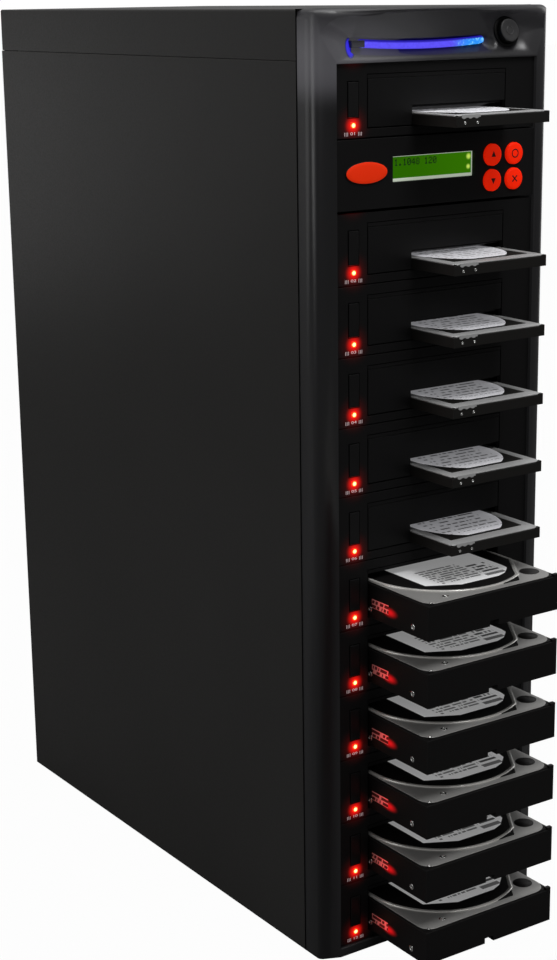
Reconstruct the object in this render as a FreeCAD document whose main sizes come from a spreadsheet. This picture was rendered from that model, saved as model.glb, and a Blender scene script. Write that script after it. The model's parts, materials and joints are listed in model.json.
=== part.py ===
import FreeCAD, Part
import math
import os
import re

import Sketcher
from FreeCAD import Placement, Rotation, Vector

# Drive duplicator: a thirteen-bay steel tower. Its top bay and its lower eleven bays hold
# hot-swap docks, six with a small (2.5 inch) drive and six with a large (3.5 inch) drive, all
# pulled part of the way out, and its second bay holds the control panel.
# Frame: +X to the right as seen from the front, -Y to the front, +Z up. The origin is the
# middle of the footprint, drives and thumbscrews included, on the surface it stands on.

SMALL_BAYS = [0, 2, 3, 4, 5, 6]
LARGE_BAYS = [7, 8, 9, 10, 11, 12]
DOCK_BAYS = SMALL_BAYS + LARGE_BAYS
PANEL_BAY = 1
GUARD_BARS = 4
VENT_ROWS = 9
FAN_BLADES = 7
BAYS = len(DOCK_BAYS) + 1
NEAR = 0.01

# ---------------------------------------------------------------------------- sizes
# Driving sizes in millimetres and degrees, each with what it measures.
SIZES = [
    ("bay_width", 148.6, "clear width of the bay opening"),
    ("bay_height", 42.0, "pitch of the half-height bays"),
    ("pillar_width", 12.7, "bezel beside the opening"),
    ("brow_height", 30.0, "bezel above the opening"),
    ("sill_height", 6.0, "bezel below the opening"),
    ("bezel_depth", 21.4, "bezel, front to back"),
    ("bezel_wall", 2.6, "bezel moulding thickness"),
    ("bezel_slope", 5.5, "how far the pillars fall back to the sides"),
    ("bezel_round", 4.0, "radius of the bezel's outer front edges"),
    ("shell_depth", 372.0, "steel case, front to back"),
    ("sheet_gauge", 1.0, "steel sheet"),
    ("skirt_height", 28.4, "side of the top cover"),
    ("bend_radius", 1.5, "outside radius of a folded edge"),
    ("panel_gap", 0.3, "running gap round the side panels"),
    ("cage_depth", 190.0, "walls beside the bays, behind the bezel"),
    ("hook_width", 8.0, "folded rail along the top and foot of a side panel"),
    ("panel_travel", 20.0, "how far a side panel slides back to come off"),
    ("foot_height", 6.0, "rubber foot, exposed height"),
    ("foot_diameter", 20.0, "rubber foot where it meets the floor sheet"),
    ("foot_inset", 24.0, "foot centre from the side and the end of the steel"),
    # brow of the bezel
    ("brow_tilt", 14.0, "how far the hollowed brow leans back"),
    ("arch_half", 84.0, "half width of the hollowed brow"),
    ("arch_side", 22.0, "height of the hollow at its ends"),
    ("arch_crown", 27.0, "height of the hollow in the middle"),
    ("arch_round", 13.0, "rounding of the hollow's upper corners"),
    ("brow_lip", 0.8, "flat strip between the opening and the hollow"),
    ("brow_back", 11.5, "where the cavity behind the brow begins"),
    ("bar_middle", -10.5, "middle of the light bar"),
    ("bar_half", 44.0, "half length of the light bar between its round ends"),
    ("bar_height", 4.3, "height of the light bar"),
    ("bar_level", 9.0, "middle line of the light bar at its lowest point"),
    ("bar_sag", 1.7, "how far the light bar dips between its ends"),
    ("bar_deep", 8.0, "light bar, front to back"),
    ("bar_gap", 0.2, "clearance of the light bar in its slot"),
    ("bar_setback", 1.2, "light bar behind the surface of the brow"),
    ("well_half", 50.0, "half length of the light well between its round ends"),
    ("well_height", 10.2, "height of the light well"),
    ("well_level", 7.3, "middle line of the light well at its lowest point"),
    ("well_bulge", 4.4, "how far the ends of the light well bulge"),
    ("well_deep", 2.8, "depth of the light well"),
    ("power_across", 52.3, "power button from the middle plane"),
    ("power_level", 14.4, "power button above the opening, along the brow"),
    ("power_diameter", 16.0, "power button"),
    ("power_proud", 3.4, "power button stands out of the brow"),
    ("power_deep", 9.0, "power button behind the brow"),
    ("power_dish", 21.5, "diameter of the dish round the power button"),
    ("dish_deep", 1.0, "depth of that dish"),
    ("slide_gap", 0.3, "clearance of a button in its hole"),
    # dock front
    ("face_setback", 1.9, "dock fronts behind the bezel"),
    ("face_gap", 0.35, "gap round a dock front"),
    ("face_wall", 3.0, "dock front thickness"),
    ("mouth_width", 102.6, "dock mouth"),
    ("mouth_top", 8.7, "mouth's upper edge below the bay top"),
    ("mouth_foot", 36.8, "mouth's lower edge below the bay top"),
    ("rebate_top", 6.4, "hinge rebate behind the mouth's upper edge"),
    ("rebate_skin", 1.4, "dock front left ahead of the hinge rebate"),
    ("flap_wall", 1.2, "flap thickness"),
    ("flap_gap", 0.3, "gap round a flap"),
    ("hinge_back", 2.2, "hinge axis behind the flap's face"),
    ("hinge_rise", 1.6, "hinge axis above the flap's upper edge"),
    ("hinge_half", 0.6, "half thickness of the hinge leaf"),
    ("leaf_foot", 1.6, "hinge leaf below the flap's upper edge"),
    ("leaf_clear", 0.65, "small flap's upper edge below the notch's"),
    ("flap_rest", 0.3, "between a held flap's lower edge and the drive's top"),
    ("slot_width", 70.4, "notch in the flap for a small drive"),
    ("slot_top", 24.8, "notch's upper edge below the bay top"),
    ("key_left", 65.0, "eject button's outer edge from the middle plane"),
    ("key_width", 6.9, "eject button"),
    ("key_height", 19.6, "eject button"),
    ("key_top", 10.4, "eject button below the bay top"),
    ("key_deep", 14.0, "eject button, front to back"),
    ("key_proud", 0.3, "eject button stands out of the dock front"),
    ("lamp_across", 61.6, "status lamp from the middle plane"),
    ("lamp_drop", 34.5, "status lamp below the bay top"),
    ("lamp_width", 3.0, "square light pipe of the status lamp"),
    ("lamp_gap", 0.2, "clearance of a lamp in its hole"),
    ("lamp_proud", 0.5, "status lamp stands out of the dock front"),
    ("lamp_deep", 8.0, "status lamp, front to back"),
    # dock body
    ("tray_deep", 172.0, "dock tray, front to back"),
    ("tray_foot", 41.2, "underside of the tray below the bay top"),
    ("tray_lip", 0.5, "tray floor above the mouth's lower edge"),
    ("rail_top", 4.0, "guide rail's upper edge below the bay top"),
    ("rail_wall", 1.8, "guide rail wall"),
    ("rail_start", 20.0, "guide rail behind the dock front"),
    ("board_gauge", 1.6, "circuit board"),
    ("board_half", 60.0, "half width of a dock board"),
    ("plug_width", 38.0, "drive socket on the dock board"),
    ("plug_height", 4.6, "drive socket"),
    ("plug_across", 22.0, "drive socket from the middle plane"),
    ("plug_drop", 33.0, "drive socket below the bay top"),
    ("docked_end", 153.0, "rear end of a docked drive behind the bezel front"),
    # drives
    ("large_width", 101.6, "large drive"),
    ("large_length", 147.0, "large drive"),
    ("large_height", 23.0, "large drive"),
    ("small_width", 69.85, "small drive"),
    ("small_length", 100.2, "small drive"),
    ("small_height", 7.0, "small drive"),
    ("drive_reach", 56.0, "large drives ahead of the bezel front"),
    ("small_reach", 38.0, "small drives ahead of the bezel front"),
    ("drive_gap", 0.5, "clearance behind a drive pushed home"),
    ("seat_gap", 0.25, "clearance under a drive"),
    ("cover_gauge", 0.8, "sheet of a drive's cover"),
    ("cover_inset", 1.2, "drive cover inside the casting's edge"),
    ("cover_round", 7.0, "radius of a large drive cover's front corners"),
    ("zone_step", 0.9, "raised middle of a large drive's cover above its flange"),
    ("zone_radius", 51.0, "raised middle's round front, over the platters"),
    ("zone_across", 2.5, "centre of that round front from the drive's middle"),
    ("zone_ahead", 6.0, "raised middle behind the drive's front end"),
    ("zone_corner", 24.4, "raised middle's front corner from the drive's middle"),
    ("zone_shoulder", 41.0, "where the raised middle reaches its full width"),
    ("zone_right", 47.5, "raised middle's right side from the drive's middle"),
    ("zone_back", 12.0, "raised middle's rear end ahead of the drive's"),
    ("post_width", 3.6, "casting's post in the front right corner"),
    ("post_deep", 2.6, "the same post, front to back"),
    ("post_gap", 0.2, "between that post and the cover"),
    ("label_width", 56.0, "raised plate on a small drive's cover"),
    ("label_length", 82.0, "the same plate, front to back"),
    ("label_rise", 0.4, "the same plate's height"),
    ("notch_width", 7.0, "notch in the large drive's front lower edge"),
    ("notch_height", 3.5, "the same notch"),
    ("notch_deep", 5.0, "the same notch"),
    # control panel
    ("panel_proud", 1.0, "control panel ahead of the dock fronts"),
    ("panel_top", 0.5, "control panel's upper edge below the bay top"),
    ("panel_foot", 40.6, "control panel's lower edge below the bay top"),
    ("panel_wall", 3.0, "control panel front"),
    ("panel_deep", 60.0, "control panel's box behind the front"),
    ("window_left", -33.8, "display window"),
    ("window_right", 27.7, "display window"),
    ("window_top", 11.5, "display window below the bay top"),
    ("window_foot", 26.3, "display window below the bay top"),
    ("glass_deep", 6.0, "display module thickness"),
    ("glass_rim", 5.0, "display module round the window"),
    ("dial_diameter", 13.0, "control button"),
    ("dial_left", 41.0, "left column of control buttons"),
    ("dial_pitch_across", 16.9, "between the columns"),
    ("dial_top", 14.7, "upper row below the bay top"),
    ("dial_pitch_down", 15.1, "between the rows"),
    ("dial_proud", 1.0, "control button stands out of the panel"),
    ("dial_deep", 6.0, "control button behind the panel front"),
    ("badge_middle", -53.0, "oval plate"),
    ("badge_drop", 19.6, "oval plate below the bay top"),
    ("badge_width", 30.0, "oval plate"),
    ("badge_height", 12.6, "oval plate"),
    ("badge_rise", 0.5, "oval plate stands out of the panel"),
    # rear
    ("supply_width", 150.0, "power supply"),
    ("supply_height", 86.0, "power supply"),
    ("supply_deep", 140.0, "power supply"),
    ("supply_drop", 16.0, "power supply below the top cover"),
    ("supply_lip", 5.0, "sheet left round the power supply's rear window"),
    ("inlet_across", -52.0, "mains inlet from the middle plane"),
    ("inlet_width", 27.0, "mains inlet recess"),
    ("inlet_height", 20.0, "mains inlet recess"),
    ("inlet_deep", 15.0, "mains inlet recess"),
    ("inlet_rise", 24.0, "mains inlet above the supply's underside"),
    ("rocker_width", 13.0, "mains switch"),
    ("rocker_height", 19.0, "mains switch"),
    ("rocker_across", -22.0, "mains switch from the middle plane"),
    ("rocker_deep", 8.0, "mains switch body"),
    ("rocker_half", 3.0, "radius of the rocker's belly and thickness of its wings"),
    ("rocker_lean", 8.0, "slope of the rocker's two wings, and its tip each way"),
    ("vent_left", 2.0, "vent's inner edge from the middle plane"),
    ("vent_slot", 26.0, "length of a vent slot"),
    ("vent_web", 4.0, "sheet left between the two columns of slots"),
    ("vent_open", 3.4, "height of a vent slot"),
    ("vent_pitch", 7.0, "between the vent slots"),
    ("vent_foot", 12.0, "lowest vent slot above the supply's underside"),
    ("vent_deep", 6.0, "depth of the vent slots"),
    ("fan_size", 92.0, "fan frame"),
    ("fan_deep", 25.0, "fan frame"),
    ("fan_bore", 87.0, "fan tunnel"),
    ("fan_level", 300.0, "fan centre above the floor"),
    ("hub_diameter", 34.0, "fan hub"),
    ("blade_reach", 41.5, "fan blade tip from the axis"),
    ("blade_wall", 1.6, "fan blade"),
    ("blade_pitch", 38.0, "fan blade's slope"),
    ("blade_deep", 20.0, "fan blade, front to back"),
    ("guard_wire", 2.0, "finger guard's bars"),
    ("guard_step", 9.0, "between the finger guard's bars"),
    ("flange_width", 15.0, "side panel's rear flange"),
    ("thumb_diameter", 9.0, "thumbscrew head"),
    ("thumb_head", 4.0, "thumbscrew head"),
    ("thumb_shank", 4.0, "thumbscrew thread"),
    ("thumb_reach", 6.0, "thumbscrew thread beyond the flange"),
    ("thumb_gap", 0.3, "clearance round the thumbscrew thread"),
    ("thumb_margin", 60.0, "thumbscrews from the ends of the panel"),
    ("card_width", 110.0, "controller board"),
    ("card_deep", 130.0, "controller board"),
    ("card_rise", 8.0, "controller board above the floor sheet"),
    ("card_back", 230.0, "controller board behind the bezel front"),
    ("post_diameter", 6.0, "standoff"),
]

doc = FreeCAD.newDocument("DriveDuplicator")
sheet = doc.addObject("Spreadsheet::Sheet", "Sizes")
for row, (name, value, note) in enumerate(SIZES, start=1):
    sheet.set(f"A{row}", note)
    sheet.set(f"B{row}", str(value))
    sheet.setAlias(f"B{row}", name)
doc.recompute()

# ---------------------------------------------------------------------------- places
# Formulas on the sheet's names that several pieces share.
HALF_WIDTH = "(bay_width / 2 + pillar_width)"
INNER_HALF = f"({HALF_WIDTH} - sheet_gauge)"
SILL = "(foot_height + sill_height)"
LINTEL = f"({SILL} + {BAYS} * bay_height)"
ROOF = f"({LINTEL} + brow_height)"
SEAM = f"({ROOF} - skirt_height)"
REAR = "(bezel_depth + shell_depth)"
REAR_REACH = "(sheet_gauge + thumb_head)"
FRAME_SHIFT = f"(drive_reach - {REAR} - {REAR_REACH}) / 2"
FACE = "face_setback"
TRAY_TOP = "(mouth_foot - tray_lip)"
DRIVE_BASE = f"({TRAY_TOP} - seat_gap)"
FLAP_TOP = "(mouth_top + flap_gap)"
FLAP_FOOT = f"({TRAY_TOP} - flap_gap)"
FLAP_HALF = "(mouth_width / 2 - flap_gap)"
SLOT_LEFT = "(mouth_width / 2 - slot_width)"
SMALL_MIDDLE = "(mouth_width / 2 - flap_gap - small_width / 2)"
SMALL_TOP = f"({DRIVE_BASE} - small_height)"
LARGE_TOP = f"({DRIVE_BASE} - large_height)"
SLOT_FLAP_TOP = "(slot_top + leaf_clear)"


def bay_top(bay):
    """The height of a bay's upper limit, counted from the top bay."""
    return f"({LINTEL} - {bay} * bay_height)"


# ---------------------------------------------------------------------------- tools
def on_sheet(formula):
    """Write a formula on the sheet's names as an expression of the document."""
    return re.sub(r"\b[a-z][a-z_]+\b(?!\()", lambda found: "Sizes." + found.group(), formula)


def tie(item, target, formula):
    """Tie one property of an object to a formula."""
    item.setExpression(target, on_sheet(formula))


def place(item, x="0", y="0", z="0"):
    """Tie an object's place to three formulas."""
    tie(item, "Placement.Base.x", x)
    tie(item, "Placement.Base.y", y)
    tie(item, "Placement.Base.z", z)
    return item


def block(name, x, y, z):
    """A box between three pairs of formulas."""
    item = doc.addObject("Part::Box", name)
    for side, (low, high) in zip(("Length", "Width", "Height"), (x, y, z)):
        tie(item, side, f"({high}) - ({low})")
    return place(item, x[0], y[0], z[0])


def rod(name, along, x, y, z, diameter, length):
    """A cylinder from a point along one of the axes."""
    item = doc.addObject("Part::Cylinder", name)
    turns = {"X": Rotation(Vector(0, 1, 0), 90), "Y": Rotation(Vector(1, 0, 0), -90), "Z": Rotation()}
    item.Placement = Placement(Vector(), turns[along])
    tie(item, "Radius", f"({diameter}) / 2")
    tie(item, "Height", length)
    return place(item, x, y, z)


def fuse(name, *items):
    """One solid made of several."""
    item = doc.addObject("Part::MultiFuse", name)
    item.Shapes = list(items)
    item.Refine = True
    return item


def cut(name, base, *tools):
    """A solid with others taken out of it."""
    item = doc.addObject("Part::Cut", name)
    item.Base = base
    item.Tool = tools[0] if len(tools) == 1 else fuse(name + "_tools", *tools)
    item.Refine = True
    return item


def group(name, *items):
    """Several solids that share a node."""
    item = doc.addObject("Part::Compound", name)
    item.Links = list(items)
    return item


def copy_at(name, master, x="0", y="0", z="0"):
    """The same solid again in another place."""
    return place(group(name, master), x, y, z)


def rounded(name, base, radius, wanted):
    """A solid with the edges that a test picks out rounded off."""
    doc.recompute()
    item = doc.addObject("Part::Fillet", name)
    item.Base = base
    value = size(radius)
    picked = [i for i, edge in enumerate(base.Shape.Edges, start=1) if wanted(edge)]
    item.Edges = [(i, value, value) for i in picked]
    return item


def size(name):
    """A size's present value."""
    return float(sheet.get(name))


def drawn(body, name, role, lift="0"):
    """An empty sketch on one of a body's origin planes, lifted off it by a formula."""
    plane = next(feature for feature in body.Origin.OriginFeatures if feature.Role == role)
    sketch = body.newObject("Sketcher::SketchObject", name)
    sketch.AttachmentSupport = [(plane, "")]
    sketch.MapMode = "FlatFace"
    tie(sketch, "AttachmentOffset.Base.z", lift)
    return sketch


def polygon(sketch, corners, bulges=None):
    """A closed outline whose corners are tied to formulas; a bulge makes the side after a corner an arc.

    The arc is a quarter circle that swells outwards, and its formula is the radius."""
    bulges = bulges or {}
    spots = [Vector(present(x), present(y), 0) for x, y in corners]
    for i, start in enumerate(spots):
        end = spots[(i + 1) % len(spots)]
        if i in bulges:
            chord = end - start
            outward = Vector(chord.y, -chord.x, 0).normalize()
            sag = present(bulges[i]) * (1 - math.cos(math.pi / 4))
            sketch.addGeometry(Part.Arc(start, (start + end) / 2 + outward * sag, end), False)
        else:
            sketch.addGeometry(Part.LineSegment(start, end), False)
    for i, (x, y) in enumerate(corners):
        following = (i + 1) % len(corners)
        ends = [2 if (spots[following] - sketch.Geometry[i].EndPoint).Length < NEAR else 1, 1]
        if (spots[following] - sketch.Geometry[following].StartPoint).Length > NEAR:
            ends[1] = 2
        sketch.addConstraint(Sketcher.Constraint("Coincident", i, ends[0], following, ends[1]))
    for i, (x, y) in enumerate(corners):
        point = 1 if (spots[i] - sketch.Geometry[i].StartPoint).Length < NEAR else 2
        for kind, formula in (("DistanceX", x), ("DistanceY", y)):
            value = present(formula)
            number = sketch.addConstraint(Sketcher.Constraint(kind, -1, 1, i, point, value))
            tie(sketch, f"Constraints[{number}]", formula)
    for i, radius in bulges.items():
        number = sketch.addConstraint(Sketcher.Constraint("Radius", i, present(radius)))
        tie(sketch, f"Constraints[{number}]", radius)
    return sketch


def rectangle(sketch, x0, x1, y0, y1):
    """A rectangle between four formulas."""
    return polygon(sketch, [(x0, y0), (x1, y0), (x1, y1), (x0, y1)])


def present(formula):
    """A formula's present value, from the sheet."""
    return float(doc.getObject("Sizes").evalExpression(on_sheet(formula)))


def pad(body, name, sketch, length):
    """A body grown from a sketch along its normal."""
    item = body.newObject("PartDesign::Pad", name)
    item.Profile = sketch
    tie(item, "Length", length)
    return item


def pocket(body, name, sketch, depth, ahead=True):
    """A body cut from a sketch, along its normal or against it."""
    item = body.newObject("PartDesign::Pocket", name)
    item.Profile = sketch
    item.Reversed = ahead
    tie(item, "Length", depth)
    return item


def raised(name, sketch, ahead, behind="0"):
    """A sketch drawn out along its normal, and back from it."""
    item = doc.addObject("Part::Extrusion", name)
    item.Base = sketch
    item.DirMode = "Normal"
    item.Solid = True
    tie(item, "LengthFwd", ahead)
    tie(item, "LengthRev", behind)
    return item


pieces = []


def piece(label, item, z="0"):
    """Name a finished sub-part and set it in the part's frame."""
    item.Label = label
    tie(item, "Placement.Base.y", FRAME_SHIFT)
    if z != "0":
        tie(item, "Placement.Base.z", z)
    pieces.append(item)
    return item


# ---------------------------------------------------------------------------- steel case
def make_chassis():
    """Folded and welded steel: floor, back, front frame and the two walls beside the bays."""
    front = ("bezel_depth", "bezel_depth + sheet_gauge")
    floor_top = "foot_height + sheet_gauge"
    inner = f"({INNER_HALF} - panel_gap)"
    cage_half = "(bay_width / 2 + face_gap)"
    cover_under = f"{ROOF} - sheet_gauge"
    floor = block("floor_sheet", (f"-{inner}", inner), ("bezel_depth", REAR), ("foot_height", floor_top))
    back = block("back_sheet", (f"-{inner}", inner), (f"{REAR} - sheet_gauge", REAR),
                 ("foot_height", cover_under))
    frame = block("front_sheet", (f"-{inner}", inner), front, ("foot_height", cover_under))
    walls = []
    for side, sign in (("left", "-1"), ("right", "1")):
        near = f"{sign} * {cage_half} + ({sign} - 1) / 2 * sheet_gauge"
        walls.append(block(side + "_bay_wall", (near, f"{near} + sheet_gauge"),
                           ("bezel_depth", "bezel_depth + cage_depth"), ("foot_height", cover_under)))
    shell = fuse("welded_sheets", floor, back, frame, *walls)
    opening = block("bay_opening", (f"-{cage_half}", cage_half), ("0", "bezel_depth + cage_depth"),
                    (f"{SILL} - face_gap", f"{LINTEL} + face_gap"))
    supply_half = "supply_width / 2 - supply_lip"
    window = block("supply_window", (f"-({supply_half})", supply_half),
                   (f"{REAR} - 2 * sheet_gauge", f"{REAR} + sheet_gauge"),
                   (f"{SUPPLY_FOOT} + supply_lip", f"{SUPPLY_FOOT} + supply_height - supply_lip"))
    tunnel = rod("fan_hole", "Y", "0", f"{REAR} - 2 * sheet_gauge", "fan_level", "fan_bore",
                 "3 * sheet_gauge")
    holes = []
    for side, sign in (("left", "-1"), ("right", "1")):
        for number, level in enumerate(THUMB_LEVELS):
            holes.append(square_hole(f"{side}_thumb_hole_{number}", f"{sign} * {THUMB_ACROSS}",
                                     f"{REAR} - 2 * sheet_gauge", level))
    pierced = cut("pierced_sheets", shell, opening, window, tunnel, *holes)
    return fuse("chassis_frame", pierced, *fan_guard(), *standoffs())


def square_hole(name, x, y, level):
    """A square punched hole that clears a thumbscrew's thread, through one sheet and past it."""
    half = "(thumb_shank / 2 + thumb_gap)"
    return block(name, (f"{x} - {half}", f"{x} + {half}"), (y, f"{y} + 3 * sheet_gauge"),
                 (f"{level} - {half}", f"{level} + {half}"))


def fan_guard():
    """Straight bars and one upright that close the fan hole, stamped from the back sheet."""
    y = (f"{REAR} - sheet_gauge", REAR)
    reach = "fan_bore / 2"
    bars = []
    for number in range(-GUARD_BARS, GUARD_BARS + 1):
        level = f"fan_level + {number} * guard_step"
        half = f"sqrt(({reach} + guard_wire) ^ 2 - ({number} * guard_step) ^ 2)"
        bars.append(block(f"guard_bar_{number + GUARD_BARS}", (f"-{half}", half), y,
                          (f"{level} - guard_wire / 2", f"{level} + guard_wire / 2")))
    bars.append(block("guard_upright", ("-guard_wire", "guard_wire"), y,
                      (f"fan_level - {reach} - guard_wire", f"fan_level + {reach} + guard_wire")))
    return bars


def standoffs():
    """Four posts on the floor sheet that carry the controller board."""
    posts = []
    for i, x in enumerate(("-1", "1")):
        for j, y in enumerate(("0", "1")):
            posts.append(rod(f"post_{i}{j}", "Z", f"{x} * (card_width / 2 - post_diameter)",
                             f"card_back + post_diameter + {y} * (card_deep - 2 * post_diameter)",
                             "foot_height",
                             "post_diameter", "sheet_gauge + card_rise"))
    return posts


def make_top_cover():
    """The folded lid: a flat top and two short skirts that meet the side panels at a seam."""
    depth = ("bezel_depth", REAR)
    top = block("cover_top", (f"-{HALF_WIDTH}", HALF_WIDTH), depth, (f"{ROOF} - sheet_gauge", ROOF))
    skirts = []
    for side, x in (("left", (f"-{HALF_WIDTH}", f"-{INNER_HALF}")), ("right", (INNER_HALF, HALF_WIDTH))):
        skirts.append(block(side + "_skirt", x, depth, (SEAM, ROOF)))
    folded = fuse("cover_sheets", top, *skirts)
    half = size("bay_width") / 2 + size("pillar_width")

    def outer_fold(edge):
        box = edge.BoundBox
        outermost = abs(abs(box.XMin) - half) < NEAR
        return outermost and box.YLength > box.XLength + box.ZLength and box.ZMin > roof_value - NEAR

    roof_value = folded_top(folded)
    return rounded("top_cover", folded, "bend_radius", outer_fold)


def folded_top(item):
    """The upper limit of a solid as it stands."""
    doc.recompute()
    return item.Shape.BoundBox.ZMax


def make_side_panel(side, sign):
    """A flat side sheet with a folded rail above and below and a rear flange with its two thumbscrews."""
    def across(near, far):
        low, high = f"{sign} * ({near})", f"{sign} * ({far})"
        return (low, high) if sign == "1" else (high, low)

    sheet_z = ("foot_height", f"{SEAM} - panel_gap")
    face = block(side + "_sheet", across(INNER_HALF, HALF_WIDTH),
                 ("bezel_depth + panel_gap", f"{REAR} + sheet_gauge"), sheet_z)
    rail_x = across(f"{INNER_HALF} - hook_width", INNER_HALF)
    rail_y = ("bezel_depth + sheet_gauge + panel_gap", f"{REAR} - 2 * sheet_gauge - panel_travel")
    upper = block(side + "_upper_rail", rail_x, rail_y,
                  (f"{SEAM} - panel_gap - sheet_gauge", f"{SEAM} - panel_gap"))
    lower = block(side + "_lower_rail", rail_x, rail_y,
                  ("foot_height + sheet_gauge + panel_gap", "foot_height + 2 * sheet_gauge + panel_gap"))
    flange = block(side + "_flange", across(f"{HALF_WIDTH} - flange_width", HALF_WIDTH),
                   (REAR, f"{REAR} + sheet_gauge"), sheet_z)
    whole = fuse(side + "_folded", face, flange)
    holes = []
    screws = []
    for number, level in enumerate(THUMB_LEVELS):
        x = f"{sign} * {THUMB_ACROSS}"
        holes.append(square_hole(f"{side}_hole_{number}", x, f"{REAR} - sheet_gauge", level))
        head = rod(f"{side}_head_{number}", "Y", x, f"{REAR} + sheet_gauge", level,
                   "thumb_diameter", "thumb_head")
        shank = rod(f"{side}_shank_{number}", "Y", x, f"{REAR} - thumb_reach", level,
                    "thumb_shank", "thumb_reach + sheet_gauge")
        screws.append(fuse(f"{side}_thumbscrew_{number}", head, shank))
    return group(side + "_panel", cut(side + "_pierced", whole, *holes), upper, lower, *screws)


def make_feet():
    """Four round rubber feet under the floor sheet."""
    feet = []
    for i, x in enumerate(("-1", "1")):
        for j, y in enumerate(("bezel_depth + foot_inset", f"{REAR} - foot_inset")):
            feet.append(rod(f"foot_{i}{j}", "Z", f"{x} * ({HALF_WIDTH} - foot_inset)", y, "0",
                            "foot_diameter", "foot_height"))
    return group("rubber_feet", *feet)


# ---------------------------------------------------------------------------- bezel
def smile(name, half, height, level, bulge=None, grow=0.0):
    """A band that dips in the middle, with rounded ends, drawn round the light bar's middle."""
    sketch = doc.addObject("Sketcher::SketchObject", name)
    middle, sag = size("bar_middle"), size("bar_sag")
    low, high = size(level) - size(height) / 2 - grow, size(level) + size(height) / 2 + grow
    near, far = middle - size(half), middle + size(half)
    swell = size(bulge) if bulge else (high - low) / 2
    centre = size(level) + sag
    for points in (((near, high + sag), (middle, high), (far, high + sag)),
                   ((far, high + sag), (far + swell, centre), (far, low + sag)),
                   ((far, low + sag), (middle, low), (near, low + sag)),
                   ((near, low + sag), (near - swell, centre), (near, high + sag))):
        sketch.addGeometry(Part.Arc(*[Vector(x, y, 0) for x, y in points]), False)
    return sketch


def on_brow(item):
    """Lean a sketch or solid back with the hollowed brow."""
    item.Placement = Placement(Vector(), Rotation(Vector(1, 0, 0), 90))
    tie(item, "Placement.Rotation.Angle", "90 - brow_tilt")
    tie(item, "Placement.Base.z", f"{LINTEL} + brow_lip")
    return item


def brow_disc(name, diameter, low, length):
    """A cylinder on the power button's axis, square to the brow."""
    disc = doc.addObject("Part::Cylinder", name + "_disc")
    tie(disc, "Radius", f"({diameter}) / 2")
    tie(disc, "Height", length)
    place(disc, "power_across", "power_level", low)
    return on_brow(group(name, disc))


def make_arch():
    """The space in front of the brow's hollow: upright ends, a shallow arched top."""
    sketch = doc.addObject("Sketcher::SketchObject", "arch_outline")
    half, side, crown = size("arch_half"), size("arch_side"), size("arch_crown")
    foot = [Vector(-half, 0, 0), Vector(half, 0, 0)]
    top = [Vector(half, side, 0), Vector(0, crown, 0), Vector(-half, side, 0)]
    sketch.addGeometry(Part.LineSegment(foot[0], foot[1]), False)
    sketch.addGeometry(Part.LineSegment(foot[1], top[0]), False)
    sketch.addGeometry(Part.Arc(*top), False)
    sketch.addGeometry(Part.LineSegment(top[2], foot[0]), False)
    prism = raised("arch_prism", on_brow(sketch), "bezel_depth")

    def upper_corner(edge):
        ends = [vertex.Point for vertex in edge.Vertexes]
        level = folded_top(prism) - 12
        return len(ends) == 2 and abs(abs(ends[0].x) - half) < NEAR and abs(ends[0].x - ends[1].x) < NEAR \
            and min(end.z for end in ends) > level - 4 and abs(ends[0].y - ends[1].y) > 5
    return rounded("arch_hollow", prism, "arch_round", upper_corner)


def make_bezel():
    """The moulded front: sloping pillars, a hollowed brow with the light well and the button dish."""
    plan = doc.addObject("Sketcher::SketchObject", "bezel_plan")
    half = size("bay_width") / 2 + size("pillar_width")
    inner, slope, depth = size("bay_width") / 2, size("bezel_slope"), size("bezel_depth")
    corners = [(-half, depth), (-half, slope), (-inner, 0), (inner, 0), (half, slope), (half, depth)]
    points = [Vector(x, y, 0) for x, y in corners]
    for i, point in enumerate(points):
        plan.addGeometry(Part.LineSegment(point, points[(i + 1) % len(points)]), False)
    tie(plan, "Placement.Base.z", "foot_height")
    blank = raised("bezel_blank", plan, f"{ROOF} - foot_height")
    top = folded_top(blank)
    foot = size("foot_height")

    def outer_edge(edge):
        box = edge.BoundBox
        upright = box.ZLength > 100 and abs(abs(box.XMin) - half) < NEAR and abs(box.YMin - slope) < NEAR
        brim = box.ZLength < NEAR and abs(box.ZMin - top) < NEAR and box.YMax < depth - NEAR
        return upright or brim
    soft = rounded("bezel_soft", blank, "bezel_round", outer_edge)

    opening_half = "(bay_width / 2)"
    opening = block("bezel_opening", (f"-{opening_half}", opening_half), ("-1", "bezel_depth + 1"),
                    (SILL, LINTEL))
    wall_half = f"({HALF_WIDTH} - bezel_wall)"
    brow_room = block("brow_room", (f"-{wall_half}", wall_half), ("brow_back", "bezel_depth + 1"),
                      (f"{LINTEL} + bezel_wall", f"{ROOF} - bezel_wall"))
    rooms = [brow_room]
    for side, sign in (("left", "-1"), ("right", "1")):
        ends = [f"{sign} * ({opening_half} + bezel_wall)", f"{sign} * {wall_half}"]
        x = tuple(ends if sign == "1" else ends[::-1])
        rooms.append(block(side + "_pillar_room", x, ("bezel_slope + bezel_wall", "bezel_depth + 1"),
                           (SILL, f"{LINTEL} - bezel_wall")))
    well = raised("light_well",
                  on_brow(smile("well_outline", "well_half", "well_height", "well_level", "well_bulge")),
                  "bezel_depth", "well_deep")
    slot = raised("light_slot", on_brow(smile("slot_outline", "bar_half", "bar_height", "bar_level",
                                              grow=size("bar_gap"))),
                  "0", "bezel_depth")
    dish = brow_disc("power_dish", "power_dish", "-dish_deep", "bezel_depth")
    bore = brow_disc("power_bore", "power_diameter + 2 * slide_gap", "-bezel_depth", "bezel_depth")
    return cut("front_bezel", soft, opening, *rooms, make_arch(), well, slot, dish, bore)


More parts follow.
